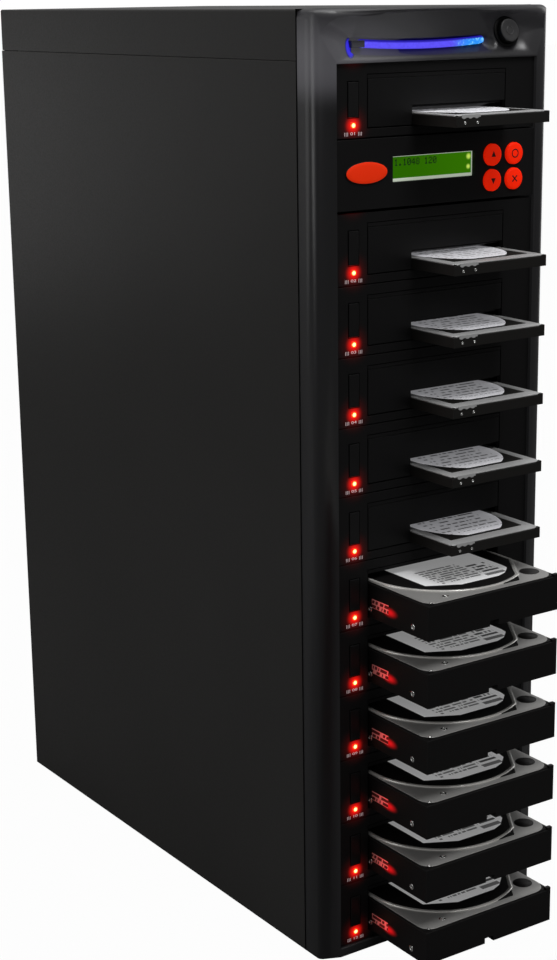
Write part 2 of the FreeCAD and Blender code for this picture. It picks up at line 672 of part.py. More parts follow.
def make_light_bar():
    """The curved lens that fills the slot in the light well, with a flange behind the moulding."""
    lens = raised("lens", on_brow(smile("lens_outline", "bar_half", "bar_height", "bar_level")),
                  "-bar_setback", "bar_deep")
    return group("light_bar", lens)


def make_power_button():
    """A round button square to the brow."""
    return group("power_button",
                 brow_disc("power_cap", "power_diameter", "-power_deep", "power_deep + power_proud"))


# ---------------------------------------------------------------------------- docks
def make_dock_face():
    """A dock's moulded front: mouth with a hinge rebate, eject button hole and lamp hole."""
    half = "bay_width / 2 - face_gap"
    back = f"{FACE} + face_wall"
    plate = block("dock_plate", (f"-({half})", half), (FACE, back),
                  ("-bay_height + face_gap", "-face_gap"))
    mouth = block("dock_mouth", ("-mouth_width / 2", "mouth_width / 2"), (f"{FACE} - 1", f"{back} + 1"),
                  ("-mouth_foot", "-mouth_top"))
    rebate = block("hinge_rebate", ("-mouth_width / 2", "mouth_width / 2"),
                   (f"{FACE} + rebate_skin", f"{back} + 1"),
                   ("-mouth_top - 1", "-rebate_top"))
    key = block("key_hole", ("-key_left - slide_gap", "-key_left + key_width + slide_gap"),
                (f"{FACE} - 1", f"{back} + 1"),
                ("-key_top - key_height - slide_gap", "-key_top + slide_gap"))
    lamp = light_pipe("lamp_hole", "lamp_width / 2 + lamp_gap", f"{FACE} - 1", f"{back} + 1")
    return cut("dock_face", plate, mouth, rebate, key, lamp)


def make_tray():
    """A dock's moulded floor, which the drive slides on."""
    half = "bay_width / 2 - face_gap"
    return block("dock_tray", (f"-({half})", half),
                 (f"{FACE} + face_wall", f"{FACE} + face_wall + tray_deep"),
                 ("-tray_foot", f"-{TRAY_TOP}"))


def make_rail(side, sign):
    """An upright wall on the tray that guides one side of a drive."""
    near, far = "mouth_width / 2", "mouth_width / 2 + rail_wall"
    x = (f"-({far})", f"-({near})") if sign == "-1" else (near, far)
    return block(side + "_rail", x, (f"{FACE} + rail_start", f"{FACE} + face_wall + tray_deep"),
                 (f"-{TRAY_TOP}", "-rail_top"))


def make_dock_board():
    """The upright board behind a dock, with the socket that a drive plugs into."""
    start = f"{FACE} + face_wall + tray_deep"
    board = block("dock_board", ("-board_half", "board_half"), (start, f"{start} + board_gauge"),
                  ("-tray_foot", "-rail_top"))
    socket = block("dock_socket", ("plug_across - plug_width / 2", "plug_across + plug_width / 2"),
                   ("docked_end + drive_gap", start),
                   ("-plug_drop - plug_height / 2", "-plug_drop + plug_height / 2"))
    return group("dock_circuit", board, socket)


def hinge_section(name, top, foot, x):
    """A flap across the mouth: its plate, its hinge leaf and the round barrel on the hinge axis."""
    face, wall = f"{FACE}", "flap_wall"
    plate = block(name + "_plate", x, (face, f"{face} + {wall}"), (f"-({foot})", f"-({top})"))
    leaf_foot = block(name + "_leaf_foot", x, (f"{face} + {wall}", f"{face} + hinge_back + hinge_half"),
                      (f"-({top}) - leaf_foot", f"-({top})"))
    leaf = block(name + "_leaf", x,
                 (f"{face} + hinge_back - hinge_half", f"{face} + hinge_back + hinge_half"),
                 (f"-({top}) - leaf_foot", f"-({top}) + hinge_rise"))
    barrel = rod(name + "_barrel", "X", x[0], f"{face} + hinge_back", f"-({top}) + hinge_rise",
                 "2 * hinge_half",
                 f"({x[1]}) - ({x[0]})")
    return fuse(name, plate, leaf_foot, leaf, barrel)


def make_notched_flap():
    """The flap of a dock with a small drive: a notch in its lower right lets the small drive through."""
    whole = hinge_section("notched_blank", FLAP_TOP, FLAP_FOOT, (f"-{FLAP_HALF}", FLAP_HALF))
    notch = block("flap_notch", (SLOT_LEFT, f"{FLAP_HALF} + 1"),
                  (f"{FACE} - 1", f"{FACE} + 2 * face_wall"),
                  ("-mouth_foot", "-slot_top"))
    return cut("notched_flap", whole, notch)


def turned_in(name, item, top, drive_top):
    """A flap swung inwards on its hinge until its lower edge lies on top of a drive."""
    holder = group(name + "_hinge", item)
    place(holder, "0", f"-({FACE} + hinge_back)", f"({top}) - hinge_rise")
    turned = group(name, holder)
    turned.Placement = Placement(Vector(), Rotation(Vector(1, 0, 0), 90))
    drop = f"({FLAP_FOOT} - {top} + hinge_rise)"
    headroom = f"({drive_top} - flap_rest - {top} + hinge_rise)"
    swing = f"atan(hinge_back / {drop}) + acos({headroom} / sqrt({drop} ^ 2 + hinge_back ^ 2))"
    tie(turned, "Placement.Rotation.Angle", swing)
    return place(turned, "0", f"{FACE} + hinge_back", f"-({top}) + hinge_rise")


def make_slot_flap():
    """The small flap of the notch, hinged on the large flap and lying on the small drive."""
    x = (f"{SLOT_LEFT} + flap_gap", FLAP_HALF)
    closed = hinge_section("slot_flap_closed", SLOT_FLAP_TOP, FLAP_FOOT, x)
    return turned_in("slot_flap", closed, SLOT_FLAP_TOP, SMALL_TOP)


def make_full_flap():
    """The flap of a dock with a large drive, held up by the drive under it."""
    closed = hinge_section("full_flap_closed", FLAP_TOP, FLAP_FOOT, (f"-{FLAP_HALF}", FLAP_HALF))
    return turned_in("full_flap", closed, FLAP_TOP, LARGE_TOP)


def make_eject_key():
    """A tall narrow push button with a shoulder behind the dock front."""
    face = f"{FACE} - key_proud"
    return block("eject_key", ("-key_left", "-key_left + key_width"), (face, f"{face} + key_deep"),
                 ("-key_top - key_height", "-key_top"))


def light_pipe(name, half, front, back):
    """A square bar on the status lamp's axis."""
    return block(name, (f"-lamp_across - ({half})", f"-lamp_across + {half}"), (front, back),
                 (f"-lamp_drop - ({half})", f"-lamp_drop + {half}"))


def make_lamp():
    """The square light pipe that carries the lamp's light to the dock front."""
    front = f"{FACE} - lamp_proud"
    return light_pipe("status_lamp", "lamp_width / 2", front, f"{front} + lamp_deep")


# ---------------------------------------------------------------------------- drives
def make_large_drive():
    """A 3.5 inch disk drive: casting with a corner post, cover, its raised middle and a notch below."""
    body = doc.addObject("PartDesign::Body", "large_drive_body")
    front, back = "-drive_reach", "(large_length - drive_reach)"
    half = "large_width / 2"
    base, top = f"-{DRIVE_BASE}", f"(large_height - {DRIVE_BASE})"
    shoulder = f"({top} - zone_step - cover_gauge)"

    casting = drawn(body, "casting_outline", "XY_Plane", base)
    rectangle(casting, f"-{half}", half, front, back)
    pad(body, "casting", casting, "large_height - zone_step - cover_gauge")

    flange = drawn(body, "flange_outline", "XY_Plane", shoulder)
    post_left = f"{half} - post_width - post_gap"
    post_back = f"{front} + post_deep + post_gap"
    right, left = f"{half} - cover_inset", f"cover_inset - {half}"
    polygon(flange,
            [(f"{left} + cover_round", f"{front} + cover_inset"), (post_left, f"{front} + cover_inset"),
                     (post_left, post_back), (right, post_back), (right, f"{back} - cover_inset"),
                     (left, f"{back} - cover_inset"), (left, f"{front} + cover_inset + cover_round")],
            bulges={6: "cover_round"})
    pad(body, "flange", flange, "cover_gauge")

    zone = drawn(body, "zone_outline", "XY_Plane", f"{top} - zone_step")
    zone_left = "zone_across - zone_radius"
    polygon(zone, [("zone_across", f"{front} + zone_ahead"), ("zone_corner", f"{front} + zone_ahead"),
                   ("zone_right", f"{front} + zone_shoulder"), ("zone_right", f"{back} - zone_back"),
                   (zone_left, f"{back} - zone_back"),
                   (zone_left, f"{front} + zone_ahead + zone_radius")],
            bulges={5: "zone_radius"})
    pad(body, "zone", zone, "zone_step")

    post = drawn(body, "post_outline", "XY_Plane", shoulder)
    rectangle(post, f"{half} - post_width", half, front, f"{front} + post_deep")
    pad(body, "post", post, "cover_gauge + zone_step")

    notch = drawn(body, "notch_outline", "XY_Plane", base)
    rectangle(notch, "-notch_width / 2", "notch_width / 2", front, f"{front} + notch_deep")
    pocket(body, "notch", notch, "notch_height")
    return body


def make_small_drive():
    """A 2.5 inch disk drive: casting with a corner post, a cover cut round it and a raised plate."""
    body = doc.addObject("PartDesign::Body", "small_drive_body")
    front, back = "-small_reach", "(small_length - small_reach)"
    left, right = f"({SMALL_MIDDLE} - small_width / 2)", f"({SMALL_MIDDLE} + small_width / 2)"
    base, top = f"-{DRIVE_BASE}", f"(small_height - {DRIVE_BASE})"
    shoulder = f"({top} - label_rise - cover_gauge)"

    casting = drawn(body, "small_casting_outline", "XY_Plane", base)
    rectangle(casting, left, right, front, back)
    pad(body, "small_casting", casting, "small_height - label_rise - cover_gauge")

    cover = drawn(body, "small_cover_outline", "XY_Plane", shoulder)
    post_left = f"{right} - post_width - post_gap"
    post_back = f"{front} + post_deep + post_gap"
    near, far = f"{left} + cover_inset / 2", f"{right} - cover_inset / 2"
    polygon(cover, [(near, f"{front} + cover_inset / 2"), (post_left, f"{front} + cover_inset / 2"),
                    (post_left, post_back), (far, post_back), (far, f"{back} - cover_inset / 2"),
                    (near, f"{back} - cover_inset / 2")])
    pad(body, "small_cover", cover, "cover_gauge")

    plate = drawn(body, "plate_outline", "XY_Plane", f"{top} - label_rise")
    middle = f"({front} + small_length / 2)"
    rectangle(plate, f"{SMALL_MIDDLE} - label_width / 2", f"{SMALL_MIDDLE} + label_width / 2",
              f"{middle} - label_length / 2", f"{middle} + label_length / 2")
    pad(body, "plate", plate, "label_rise")

    post = drawn(body, "small_post_outline", "XY_Plane", shoulder)
    rectangle(post, f"{right} - post_width", right, front, f"{front} + post_deep")
    pad(body, "small_post", post, "cover_gauge")
    return body


# ---------------------------------------------------------------------------- control panel
PANEL_FACE = "(face_setback - panel_proud)"


def dial_places():
    """The four control buttons, row by row."""
    for row in (0, 1):
        for column in (0, 1):
            yield f"dial_left + {column} * dial_pitch_across", f"-(dial_top + {row} * dial_pitch_down)"


def make_control_panel():
    """The panel in the second bay: front with window and button holes, an oval plate and a box behind."""
    half = "bay_width / 2 - face_gap"
    back = f"{PANEL_FACE} + panel_wall"
    plate = block("panel_plate", (f"-({half})", half), (PANEL_FACE, back), ("-panel_foot", "-panel_top"))
    case = block("panel_case", (f"-({half})", half), (back, f"{back} + panel_deep"),
                 ("-panel_foot", "-panel_top"))
    room = block("panel_room", (f"-({half}) + bezel_wall", f"{half} - bezel_wall"),
                 (back, f"{back} + panel_deep + 1"),
                 ("-panel_foot + bezel_wall", "-panel_top - bezel_wall"))
    window = block("panel_window", ("window_left", "window_right"), (f"{PANEL_FACE} - 1", f"{back} + 1"),
                   ("-window_foot", "-window_top"))
    holes = []
    for number, (x, z) in enumerate(dial_places()):
        holes.append(rod(f"dial_hole_{number}", "Y", x, f"{PANEL_FACE} - 1", z,
                         "dial_diameter + 2 * slide_gap", "panel_wall + 2"))
    hollow = cut("panel_hollow", fuse("panel_solid", plate, case), room, window, *holes)
    badge = doc.addObject("Part::Ellipse", "badge_outline")
    tie(badge, "MajorRadius", "badge_width / 2")
    tie(badge, "MinorRadius", "badge_height / 2")
    badge.Placement = Placement(Vector(), Rotation(Vector(1, 0, 0), 90))
    place(badge, "badge_middle", PANEL_FACE, "-badge_drop")
    oval = doc.addObject("Part::Extrusion", "badge_plate")
    oval.Base = badge
    oval.DirMode = "Custom"
    oval.Dir = Vector(0, -1, 0)
    oval.Solid = True
    tie(oval, "LengthFwd", "badge_rise")
    return group("control_panel_pieces", fuse("panel_with_badge", hollow, oval))


def make_display():
    """The display module behind the window."""
    back = f"{PANEL_FACE} + panel_wall"
    return block("display", ("window_left - glass_rim", "window_right + glass_rim"),
                 (back, f"{back} + glass_deep"),
                 ("-window_foot - glass_rim", "-window_top + glass_rim"))


# ---------------------------------------------------------------------------- rear
SUPPLY_FOOT = f"({ROOF} - supply_drop - supply_height)"
THUMB_ACROSS = f"({HALF_WIDTH} - flange_width / 2)"
THUMB_LEVELS = ("foot_height + thumb_margin", f"{SEAM} - thumb_margin")


def make_power_supply():
    """The boxed power supply with its mains inlet, switch recess and two columns of vent slots."""
    rear = f"{REAR} - sheet_gauge"
    body = block("supply_case", ("-supply_width / 2", "supply_width / 2"),
                 (f"{rear} - supply_deep", rear),
                 (SUPPLY_FOOT, f"{SUPPLY_FOOT} + supply_height"))
    inlet = block("inlet_recess", ("inlet_across - inlet_width / 2", "inlet_across + inlet_width / 2"),
                  (f"{rear} - inlet_deep", f"{rear} + 1"),
                  (f"{SUPPLY_FOOT} + inlet_rise", f"{SUPPLY_FOOT} + inlet_rise + inlet_height"))
    middle = f"{SUPPLY_FOOT} + inlet_rise + inlet_height / 2"
    switch = block("switch_recess", ("rocker_across - rocker_width / 2 - slide_gap",
                                     "rocker_across + rocker_width / 2 + slide_gap"),
                   (f"{rear} - rocker_deep - slide_gap", f"{rear} + 1"),
                   (f"{middle} - rocker_height / 2 - slide_gap",
                    f"{middle} + rocker_height / 2 + slide_gap"))
    slots = []
    for column in range(2):
        x = f"vent_left + {column} * (vent_slot + vent_web)"
        for level in range(VENT_ROWS):
            z = f"{SUPPLY_FOOT} + vent_foot + {level} * vent_pitch"
            slots.append(block(f"vent_slot_{column}_{level}", (x, f"{x} + vent_slot"),
                               (f"{rear} - vent_deep", f"{rear} + 1"), (z, f"{z} + vent_open")))
    return cut("power_supply", body, inlet, switch, *slots)


def make_rocker():
    """The mains switch's rocker: a shallow V over a round belly on the axis that it tips about."""
    axis = f"{REAR} - sheet_gauge - rocker_half"
    middle = f"{SUPPLY_FOOT} + inlet_rise + inlet_height / 2"
    x = ("rocker_across - rocker_width / 2", "rocker_across + rocker_width / 2")
    belly = rod("rocker_belly", "X", x[0], axis, middle, "2 * rocker_half", "rocker_width")
    wings = []
    for side, lean in (("upper", -1), ("lower", 1)):
        wing = doc.addObject("Part::Box", side + "_wing")
        tie(wing, "Length", "rocker_width")
        tie(wing, "Width", "rocker_half")
        tie(wing, "Height", "rocker_height / 2 - 2 * slide_gap")
        place(wing, x[0], "0", "0" if lean < 0 else "-(rocker_height / 2 - 2 * slide_gap)")
        leaned = group(side + "_wing_lean", wing)
        leaned.Placement = Placement(Vector(), Rotation(Vector(1, 0, 0), 1))
        tie(leaned, "Placement.Rotation.Angle", f"{lean} * rocker_lean")
        wings.append(place(leaned, "0", axis, middle))
    return fuse("switch_rocker", belly, *wings)


def make_fan_frame():
    """The square fan frame behind the guard."""
    rear = f"{REAR} - sheet_gauge"
    body = block("fan_case", ("-fan_size / 2", "fan_size / 2"), (f"{rear} - fan_deep", rear),
                 ("fan_level - fan_size / 2", "fan_level + fan_size / 2"))
    tunnel = rod("fan_tunnel", "Y", "0", f"{rear} - fan_deep - 1", "fan_level", "fan_bore",
                 "fan_deep + 2")
    motor = rod("fan_motor", "Y", "0", f"{rear} - fan_deep", "fan_level", "hub_diameter",
                "2 * blade_wall")
    arms = []
    for number in range(2):
        reach = "fan_bore / 2 + 1"
        span = (f"-({reach})", reach)
        thin = ("-blade_wall", "blade_wall")
        lift = (f"fan_level - ({reach})", f"fan_level + {reach}")
        thin_up = ("fan_level - blade_wall", "fan_level + blade_wall")
        x, z = (span, thin_up) if number == 0 else (thin, lift)
        arms.append(block(f"fan_arm_{number}", x,
                          (f"{rear} - fan_deep", f"{rear} - fan_deep + 2 * blade_wall"), z))
    return fuse("fan_frame", cut("fan_shell", body, tunnel), motor, *arms)


def make_fan_rotor():
    """A hub with seven sloping blades."""
    rear = f"{REAR} - sheet_gauge"
    start = f"{rear} - fan_deep + 2 * blade_wall + slide_gap"
    hub = rod("fan_hub", "Y", "0", start, "fan_level", "hub_diameter", "blade_deep")
    blades = []
    for number in range(FAN_BLADES):
        blade = doc.addObject("Part::Box", f"blade_{number}")
        tie(blade, "Length", "blade_deep")
        tie(blade, "Width", "blade_wall")
        tie(blade, "Height", "blade_reach - hub_diameter / 4")
        place(blade, "-blade_deep / 2", "-blade_wall / 2", "hub_diameter / 4")
        leaned = group(f"blade_lean_{number}", blade)
        leaned.Placement = Placement(Vector(), Rotation(Vector(0, 0, 1), 45))
        tie(leaned, "Placement.Rotation.Angle", "blade_pitch")
        turned = group(f"blade_turn_{number}", leaned)
        turned.Placement = Placement(Vector(), Rotation(Vector(0, 1, 0), 360 * number / FAN_BLADES))
        place(turned, "0", f"{start} + blade_deep / 2", "fan_level")
        blades.append(turned)
    return fuse("fan_rotor", hub, *blades)


def make_controller():
    """The controller board on its posts."""
    z = "foot_height + sheet_gauge + card_rise"
    return block("controller_card", ("-card_width / 2", "card_width / 2"),
                 ("card_back", "card_back + card_deep"),
                 (z, f"{z} + board_gauge"))


# ---------------------------------------------------------------------------- assembly
def in_bays(name, master, bays):
    """One solid repeated in several bays."""
    return group(name, *[copy_at(f"{name}_{bay}", master, z=bay_top(bay)) for bay in bays])


piece("chassis_frame", make_chassis())
piece("top_cover", make_top_cover())
piece("left_panel", make_side_panel("left", "-1"))
piece("right_panel", make_side_panel("right", "1"))
piece("rubber_feet", make_feet())
piece("front_bezel", make_bezel())
piece("light_bar", make_light_bar())
piece("power_button", make_power_button())

piece("dock_faces", in_bays("dock_faces", make_dock_face(), DOCK_BAYS))
piece("dock_trays", in_bays("dock_trays", make_tray(), DOCK_BAYS))
rails = group("rail_pair", make_rail("left", "-1"), make_rail("right", "1"))
piece("dock_rails", in_bays("dock_rails", rails, DOCK_BAYS))
boards = in_bays("dock_boards", make_dock_board(), DOCK_BAYS)
piece("circuit_boards", group("circuit_boards", boards, make_controller()))
piece("status_lamps", in_bays("status_lamps", make_lamp(), DOCK_BAYS))
piece("held_flaps", in_bays("held_flaps", make_full_flap(), LARGE_BAYS))

notched_flap = make_notched_flap()
slot_flap = make_slot_flap()
eject_key = make_eject_key()
small_drive = make_small_drive()
large_drive = make_large_drive()
for number, bay in enumerate(DOCK_BAYS, start=1):
    drive = small_drive if bay in SMALL_BAYS else large_drive
    piece(f"drive_{number:02d}", group(f"drive_{number:02d}", drive), bay_top(bay))
    piece(f"eject_button_{number:02d}", group(f"eject_button_{number:02d}", eject_key), bay_top(bay))
    if bay in SMALL_BAYS:
        piece(f"flap_{number:02d}", group(f"flap_{number:02d}", notched_flap), bay_top(bay))
        piece(f"slot_flap_{number:02d}", group(f"slot_flap_{number:02d}", slot_flap), bay_top(bay))

piece("control_panel", group("control_panel", make_control_panel()), bay_top(PANEL_BAY))
piece("display_module", group("display_module", make_display()), bay_top(PANEL_BAY))
for label, (x, z) in zip(("button_up", "button_enter", "button_down", "button_escape"), dial_places()):
    cap = rod(label + "_cap", "Y", x, f"{PANEL_FACE} - dial_proud", z, "dial_diameter",
              "dial_proud + dial_deep")
    piece(label, group(label, cap), bay_top(PANEL_BAY))

piece("power_supply", make_power_supply())
piece("power_switch", group("power_switch", make_rocker()))
piece("fan_frame", make_fan_frame())
piece("fan_rotor", make_fan_rotor())

doc.recompute()
for item in doc.Objects:
    if "Invalid" in item.State or "Error" in item.State:
        raise RuntimeError(f"{item.Label} did not build: {item.State}")
for item in pieces:
    if item.Shape.isNull() or not item.Shape.isValid():
        raise RuntimeError(f"{item.Label} has no valid shape")

os.makedirs("parts", exist_ok=True)
for item in pieces:
    item.Shape.exportStep(f"parts/{item.Label}.step")
    box = item.Shape.BoundBox
    print(f"{item.Label:18s} {len(item.Shape.Solids):3d} solids {item.Shape.Volume:12.1f} mm3  "
          f"x {box.XMin:7.1f} {box.XMax:7.1f}  y {box.YMin:7.1f} {box.YMax:7.1f}  z {box.ZMin:6.1f} {box.ZMax:6.1f}")
print(len(pieces), "sub-parts")
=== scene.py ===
import json
import math

import bmesh
import bpy
from mathutils import Matrix, Vector


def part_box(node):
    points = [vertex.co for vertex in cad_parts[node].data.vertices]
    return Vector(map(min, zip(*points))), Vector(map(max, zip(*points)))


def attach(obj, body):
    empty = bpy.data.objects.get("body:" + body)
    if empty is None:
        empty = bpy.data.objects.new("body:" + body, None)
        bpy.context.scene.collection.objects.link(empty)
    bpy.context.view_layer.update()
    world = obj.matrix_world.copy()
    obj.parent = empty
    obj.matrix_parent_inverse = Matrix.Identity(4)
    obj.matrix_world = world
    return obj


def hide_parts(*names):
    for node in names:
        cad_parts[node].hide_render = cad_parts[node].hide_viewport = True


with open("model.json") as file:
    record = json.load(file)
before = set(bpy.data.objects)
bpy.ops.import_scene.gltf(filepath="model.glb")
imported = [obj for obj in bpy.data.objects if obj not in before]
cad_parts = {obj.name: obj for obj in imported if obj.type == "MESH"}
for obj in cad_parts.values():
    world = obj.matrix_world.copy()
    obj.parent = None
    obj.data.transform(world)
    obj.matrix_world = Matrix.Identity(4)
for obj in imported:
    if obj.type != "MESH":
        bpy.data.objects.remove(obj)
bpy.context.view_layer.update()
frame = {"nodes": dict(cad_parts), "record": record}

nodes = frame["nodes"]

# ---------------------------------------------------------------- the studio
# The tower stands on a white table in a white room, seen from its front left corner and from a
# little above. Soft boxes light it from the left, low behind the left, the front, the right and above.
bpy.ops.object.select_all(action="DESELECT")
bpy.ops.object.camera_add(location=(-0.70217, -1.03673, 0.59662),
                          rotation=[math.radians(angle) for angle in (75.2947, 0.7943, -34.1017)])
eye = bpy.context.object
eye.name = "studio_camera"
eye.data.lens = 70.13
eye.data.shift_x = 0.0052
eye.data.shift_y = 0.0043
eye.data.clip_start = 0.02
bpy.context.scene.camera = eye


def soft_box(name, place, width, height, power, aim):
    """A rectangular soft box at a place, that faces a point of the tower."""
    bpy.ops.object.light_add(type="AREA", location=place)
    lamp = bpy.context.object
    lamp.name = name
    lamp.data.shape = "RECTANGLE"
    lamp.data.size, lamp.data.size_y = width, height
    lamp.data.energy = power
    lamp.rotation_euler = (Vector(aim) - Vector(place)).to_track_quat("-Z", "Y").to_euler()


soft_box("left_box", (-1.6, 0.2, 0.7), 0.8, 0.8, 5.7, (-0.09, 0.0, 0.4))
soft_box("low_left_box", (-0.5, 1.15, 0.4), 0.35, 0.35, 0.25, (-0.09, 0.1, 0.4))
soft_box("front_box", (0.1, -0.9, 1.7), 0.6, 0.6, 12.5, (0, -0.2, 0.3))
soft_box("right_strip", (1.2, 0.12, 0.5), 0.3, 1.2, 2.2, (0, 0, 0.3))
soft_box("top_box", (0.1, -0.1, 2.0), 1.2, 1.2, 12, (0, 0, 0.3))


def calc(tree, operation, *values):
    """One step of arithmetic in a material, on numbers or on other steps."""
    step = tree.nodes.new("ShaderNodeMath")
    step.operation = operation
    for socket, value in zip(step.inputs, values):
        if isinstance(value, (int, float)):
            socket.default_value = value
        else:
            tree.links.new(value, socket)
    return step.outputs[0]


def mult(tree, *factors):
    """The product of two numbers or steps."""
    return calc(tree, "MULTIPLY", *factors)


def white_when_seen(tree, own, white, share, glossy):
    """A share of plain white to the eye, another in reflections, and its own shader to light."""
    rays = tree.nodes.new("ShaderNodeLightPath")
    both = tree.nodes.new("ShaderNodeMixShader")
    seen = calc(tree, "MAXIMUM", rays.outputs["Is Camera Ray"], rays.outputs["Is Transmission Ray"])
    seen = mult(tree, seen, share)
    seen = calc(tree, "MAXIMUM", seen, mult(tree, rays.outputs["Is Glossy Ray"], glossy))
    tree.links.new(seen, both.inputs[0])
    tree.links.new(own.outputs[0], both.inputs[1])
    tree.links.new(white.outputs[0], both.inputs[2])
    return both.outputs[0]


bpy.ops.mesh.primitive_plane_add(size=30, location=(0, 0, 0))
table = bpy.context.object
table.name = "white_table"
white_paper = bpy.data.materials.new("white_table")
white_paper.use_nodes = True
tree = white_paper.node_tree
tree.nodes.clear()
paper = tree.nodes.new("ShaderNodeBsdfDiffuse")
paper.inputs["Color"].default_value = (0.15, 0.15, 0.15, 1)
table_out = tree.nodes.new("ShaderNodeOutputMaterial")
table_white = white_when_seen(tree, paper, tree.nodes.new("ShaderNodeEmission"), 0.98, 0)
tree.links.new(table_white, table_out.inputs["Surface"])
table.data.materials.append(white_paper)

room = bpy.data.worlds.new("white_room")
room.use_nodes = True
bpy.context.scene.world = room
tree = room.node_tree
tree.nodes.clear()
lit, shown = (tree.nodes.new("ShaderNodeBackground") for _ in range(2))
lit.inputs["Strength"].default_value = 0.3
shown.inputs["Strength"].default_value = 1.0
for background in (lit, shown):
    background.inputs["Color"].default_value = (1, 1, 1, 1)
room_out = tree.nodes.new("ShaderNodeOutputWorld")
tree.links.new(white_when_seen(tree, lit, shown, 1, 0.06), room_out.inputs["Surface"])
bpy.context.scene.view_settings.view_transform = "Standard"


# ---------------------------------------------------------------- steel case
# Folded sheet steel in a satin charcoal powder coat: frame, lid and two side panels. The coat has a
# fine orange peel, drifts a little in tone, and is rubbed thin and brighter along the folds.
def span(tree, value, low_in, high_in, low_out=0.0, high_out=1.0):
    """A value taken smoothly from one range to another."""
    ramp = tree.nodes.new("ShaderNodeMapRange")
    ramp.interpolation_type = "SMOOTHSTEP"
    limits = {"From Min": low_in, "From Max": high_in, "To Min": low_out, "To Max": high_out}
    for name, limit in limits.items():
        ramp.inputs[name].default_value = limit
    tree.links.new(value, ramp.inputs["Value"])
    return ramp.outputs["Result"]


def blend(tree, factor, first, second):
    """Two colours, or two colour steps, mixed by a factor."""
    mix = tree.nodes.new("ShaderNodeMix")
    mix.data_type = "RGBA"
    tree.links.new(factor, mix.inputs["Factor"])
    for name, colour in (("A", first), ("B", second)):
        if isinstance(colour, tuple):
            mix.inputs[name].default_value = (*colour, 1)
        else:
            tree.links.new(colour, mix.inputs[name])
    return mix.outputs["Result"]


def noise(tree, space, scale, detail=2.0, stretch=None):
    """Noise in a piece's own space, stretched along an axis for drawn or brushed metal."""
    cloud = tree.nodes.new("ShaderNodeTexNoise")
    cloud.inputs["Scale"].default_value = scale
    cloud.inputs["Detail"].default_value = detail
    if stretch:
        turn = tree.nodes.new("ShaderNodeMapping")
        turn.inputs["Scale"].default_value = stretch
        tree.links.new(space, turn.inputs["Vector"])
        space = turn.outputs["Vector"]
    tree.links.new(space, cloud.inputs["Vector"])
    return cloud.outputs["Fac"]


def coated(name, colour, drift=0.2, rough=0.45, rough_span=0.08, grain=900.0, peel=0.12, metal=0.0,
           cloud=7.0, gloss=0.3, fold=0.0004, wear=0.0, stretch=None):
    """A finish whose colour, gloss and surface follow noise, with softened and slightly worn edges."""
    material = bpy.data.materials.new(name)
    material.use_nodes = True
    tree = material.node_tree
    shader = tree.nodes["Principled BSDF"]
    space = tree.nodes.new("ShaderNodeTexCoord").outputs["Object"]
    grains = noise(tree, space, grain, 2, stretch)
    dark, pale = (tuple(c * k for c in colour) for k in (1 - drift, 1 + drift))
    tone = blend(tree, noise(tree, space, cloud, 5), dark, pale)
    edge = tree.nodes.new("ShaderNodeBevel")
    edge.samples = 4
    edge.inputs["Radius"].default_value = fold
    if wear:
        facing = tree.nodes.new("ShaderNodeNewGeometry").outputs["Normal"]
        meet = tree.nodes.new("ShaderNodeVectorMath")
        meet.operation = "DOT_PRODUCT"
        tree.links.new(facing, meet.inputs[0])
        tree.links.new(edge.outputs["Normal"], meet.inputs[1])
        worn = span(tree, calc(tree, "SUBTRACT", 1.0, meet.outputs["Value"]), 0.02, 0.3)
        bare = tuple(min(1, c * 4 + 0.02) for c in colour)
        tone = blend(tree, mult(tree, worn, wear), tone, bare)
    tree.links.new(tone, shader.inputs["Base Color"])
    roughness = span(tree, grains, 0.2, 0.8, rough - rough_span, rough + rough_span)
    tree.links.new(roughness, shader.inputs["Roughness"])
    bump = tree.nodes.new("ShaderNodeBump")
    bump.inputs["Strength"].default_value = peel
    bump.inputs["Distance"].default_value = 0.0002
    tree.links.new(grains, bump.inputs["Height"])
    tree.links.new(edge.outputs["Normal"], bump.inputs["Normal"])
    tree.links.new(bump.outputs["Normal"], shader.inputs["Normal"])
    shader.inputs["Metallic"].default_value = metal
    shader.inputs["Specular IOR Level"].default_value = gloss
    return material


def dress(names, material):
    """Give CAD nodes a finish."""
    for name in names:
        slots = nodes[name].data.materials
        slots.clear()
        slots.append(material)


case_coat = coated("case_coat", (0.021, 0.0202, 0.0194), rough=0.38, gloss=0.26, fold=0.0007, wear=0.5)
dress(["chassis_frame", "top_cover", "left_panel", "right_panel"], case_coat)

# ---------------------------------------------------------------- seam shadow
# A thin near-black strip along the joint between the steel case and the moulded front, flush with
# both: painted shadow that darkens the seam. It goes with the case.
seam_shade_black = coated("seam_shade_black", (0.0015, 0.0015, 0.0015), rough=0.8, grain=2500, peel=0.1, gloss=0.02,
                    fold=0.0001)


def pull(way):
    """Draw the chosen faces out along a direction, with walls behind them."""
    bpy.ops.mesh.extrude_region_move(TRANSFORM_OT_translate={"value": way})


def begin(name, add, **how):
    """Add a primitive by itself, put its place in its mesh and open it for shaping."""
    bpy.ops.object.select_all(action="DESELECT")
    add(**how)
    new = bpy.context.object
    new.name = new.data.name = name
    bpy.ops.object.transform_apply(location=True, rotation=True, scale=True)
    bpy.ops.object.mode_set(mode="EDIT")
    bpy.ops.mesh.select_all(action="SELECT")
    return new


def sheet(name, size, place, turn=(0, 0, 0), add=bpy.ops.mesh.primitive_plane_add):
    """Open a flat rectangle, or a block, that is stretched to a size."""
    new = begin(name, add, size=1, location=place, rotation=turn)
    bpy.ops.transform.resize(value=size)
    return new


def border(width, way):
    """Keep only a border of a sheet, and draw it out along a direction."""
    bpy.ops.mesh.inset(thickness=width, depth=0)
    bpy.ops.mesh.delete(type="FACE")
    bpy.ops.mesh.select_all(action="SELECT")
    pull(way)


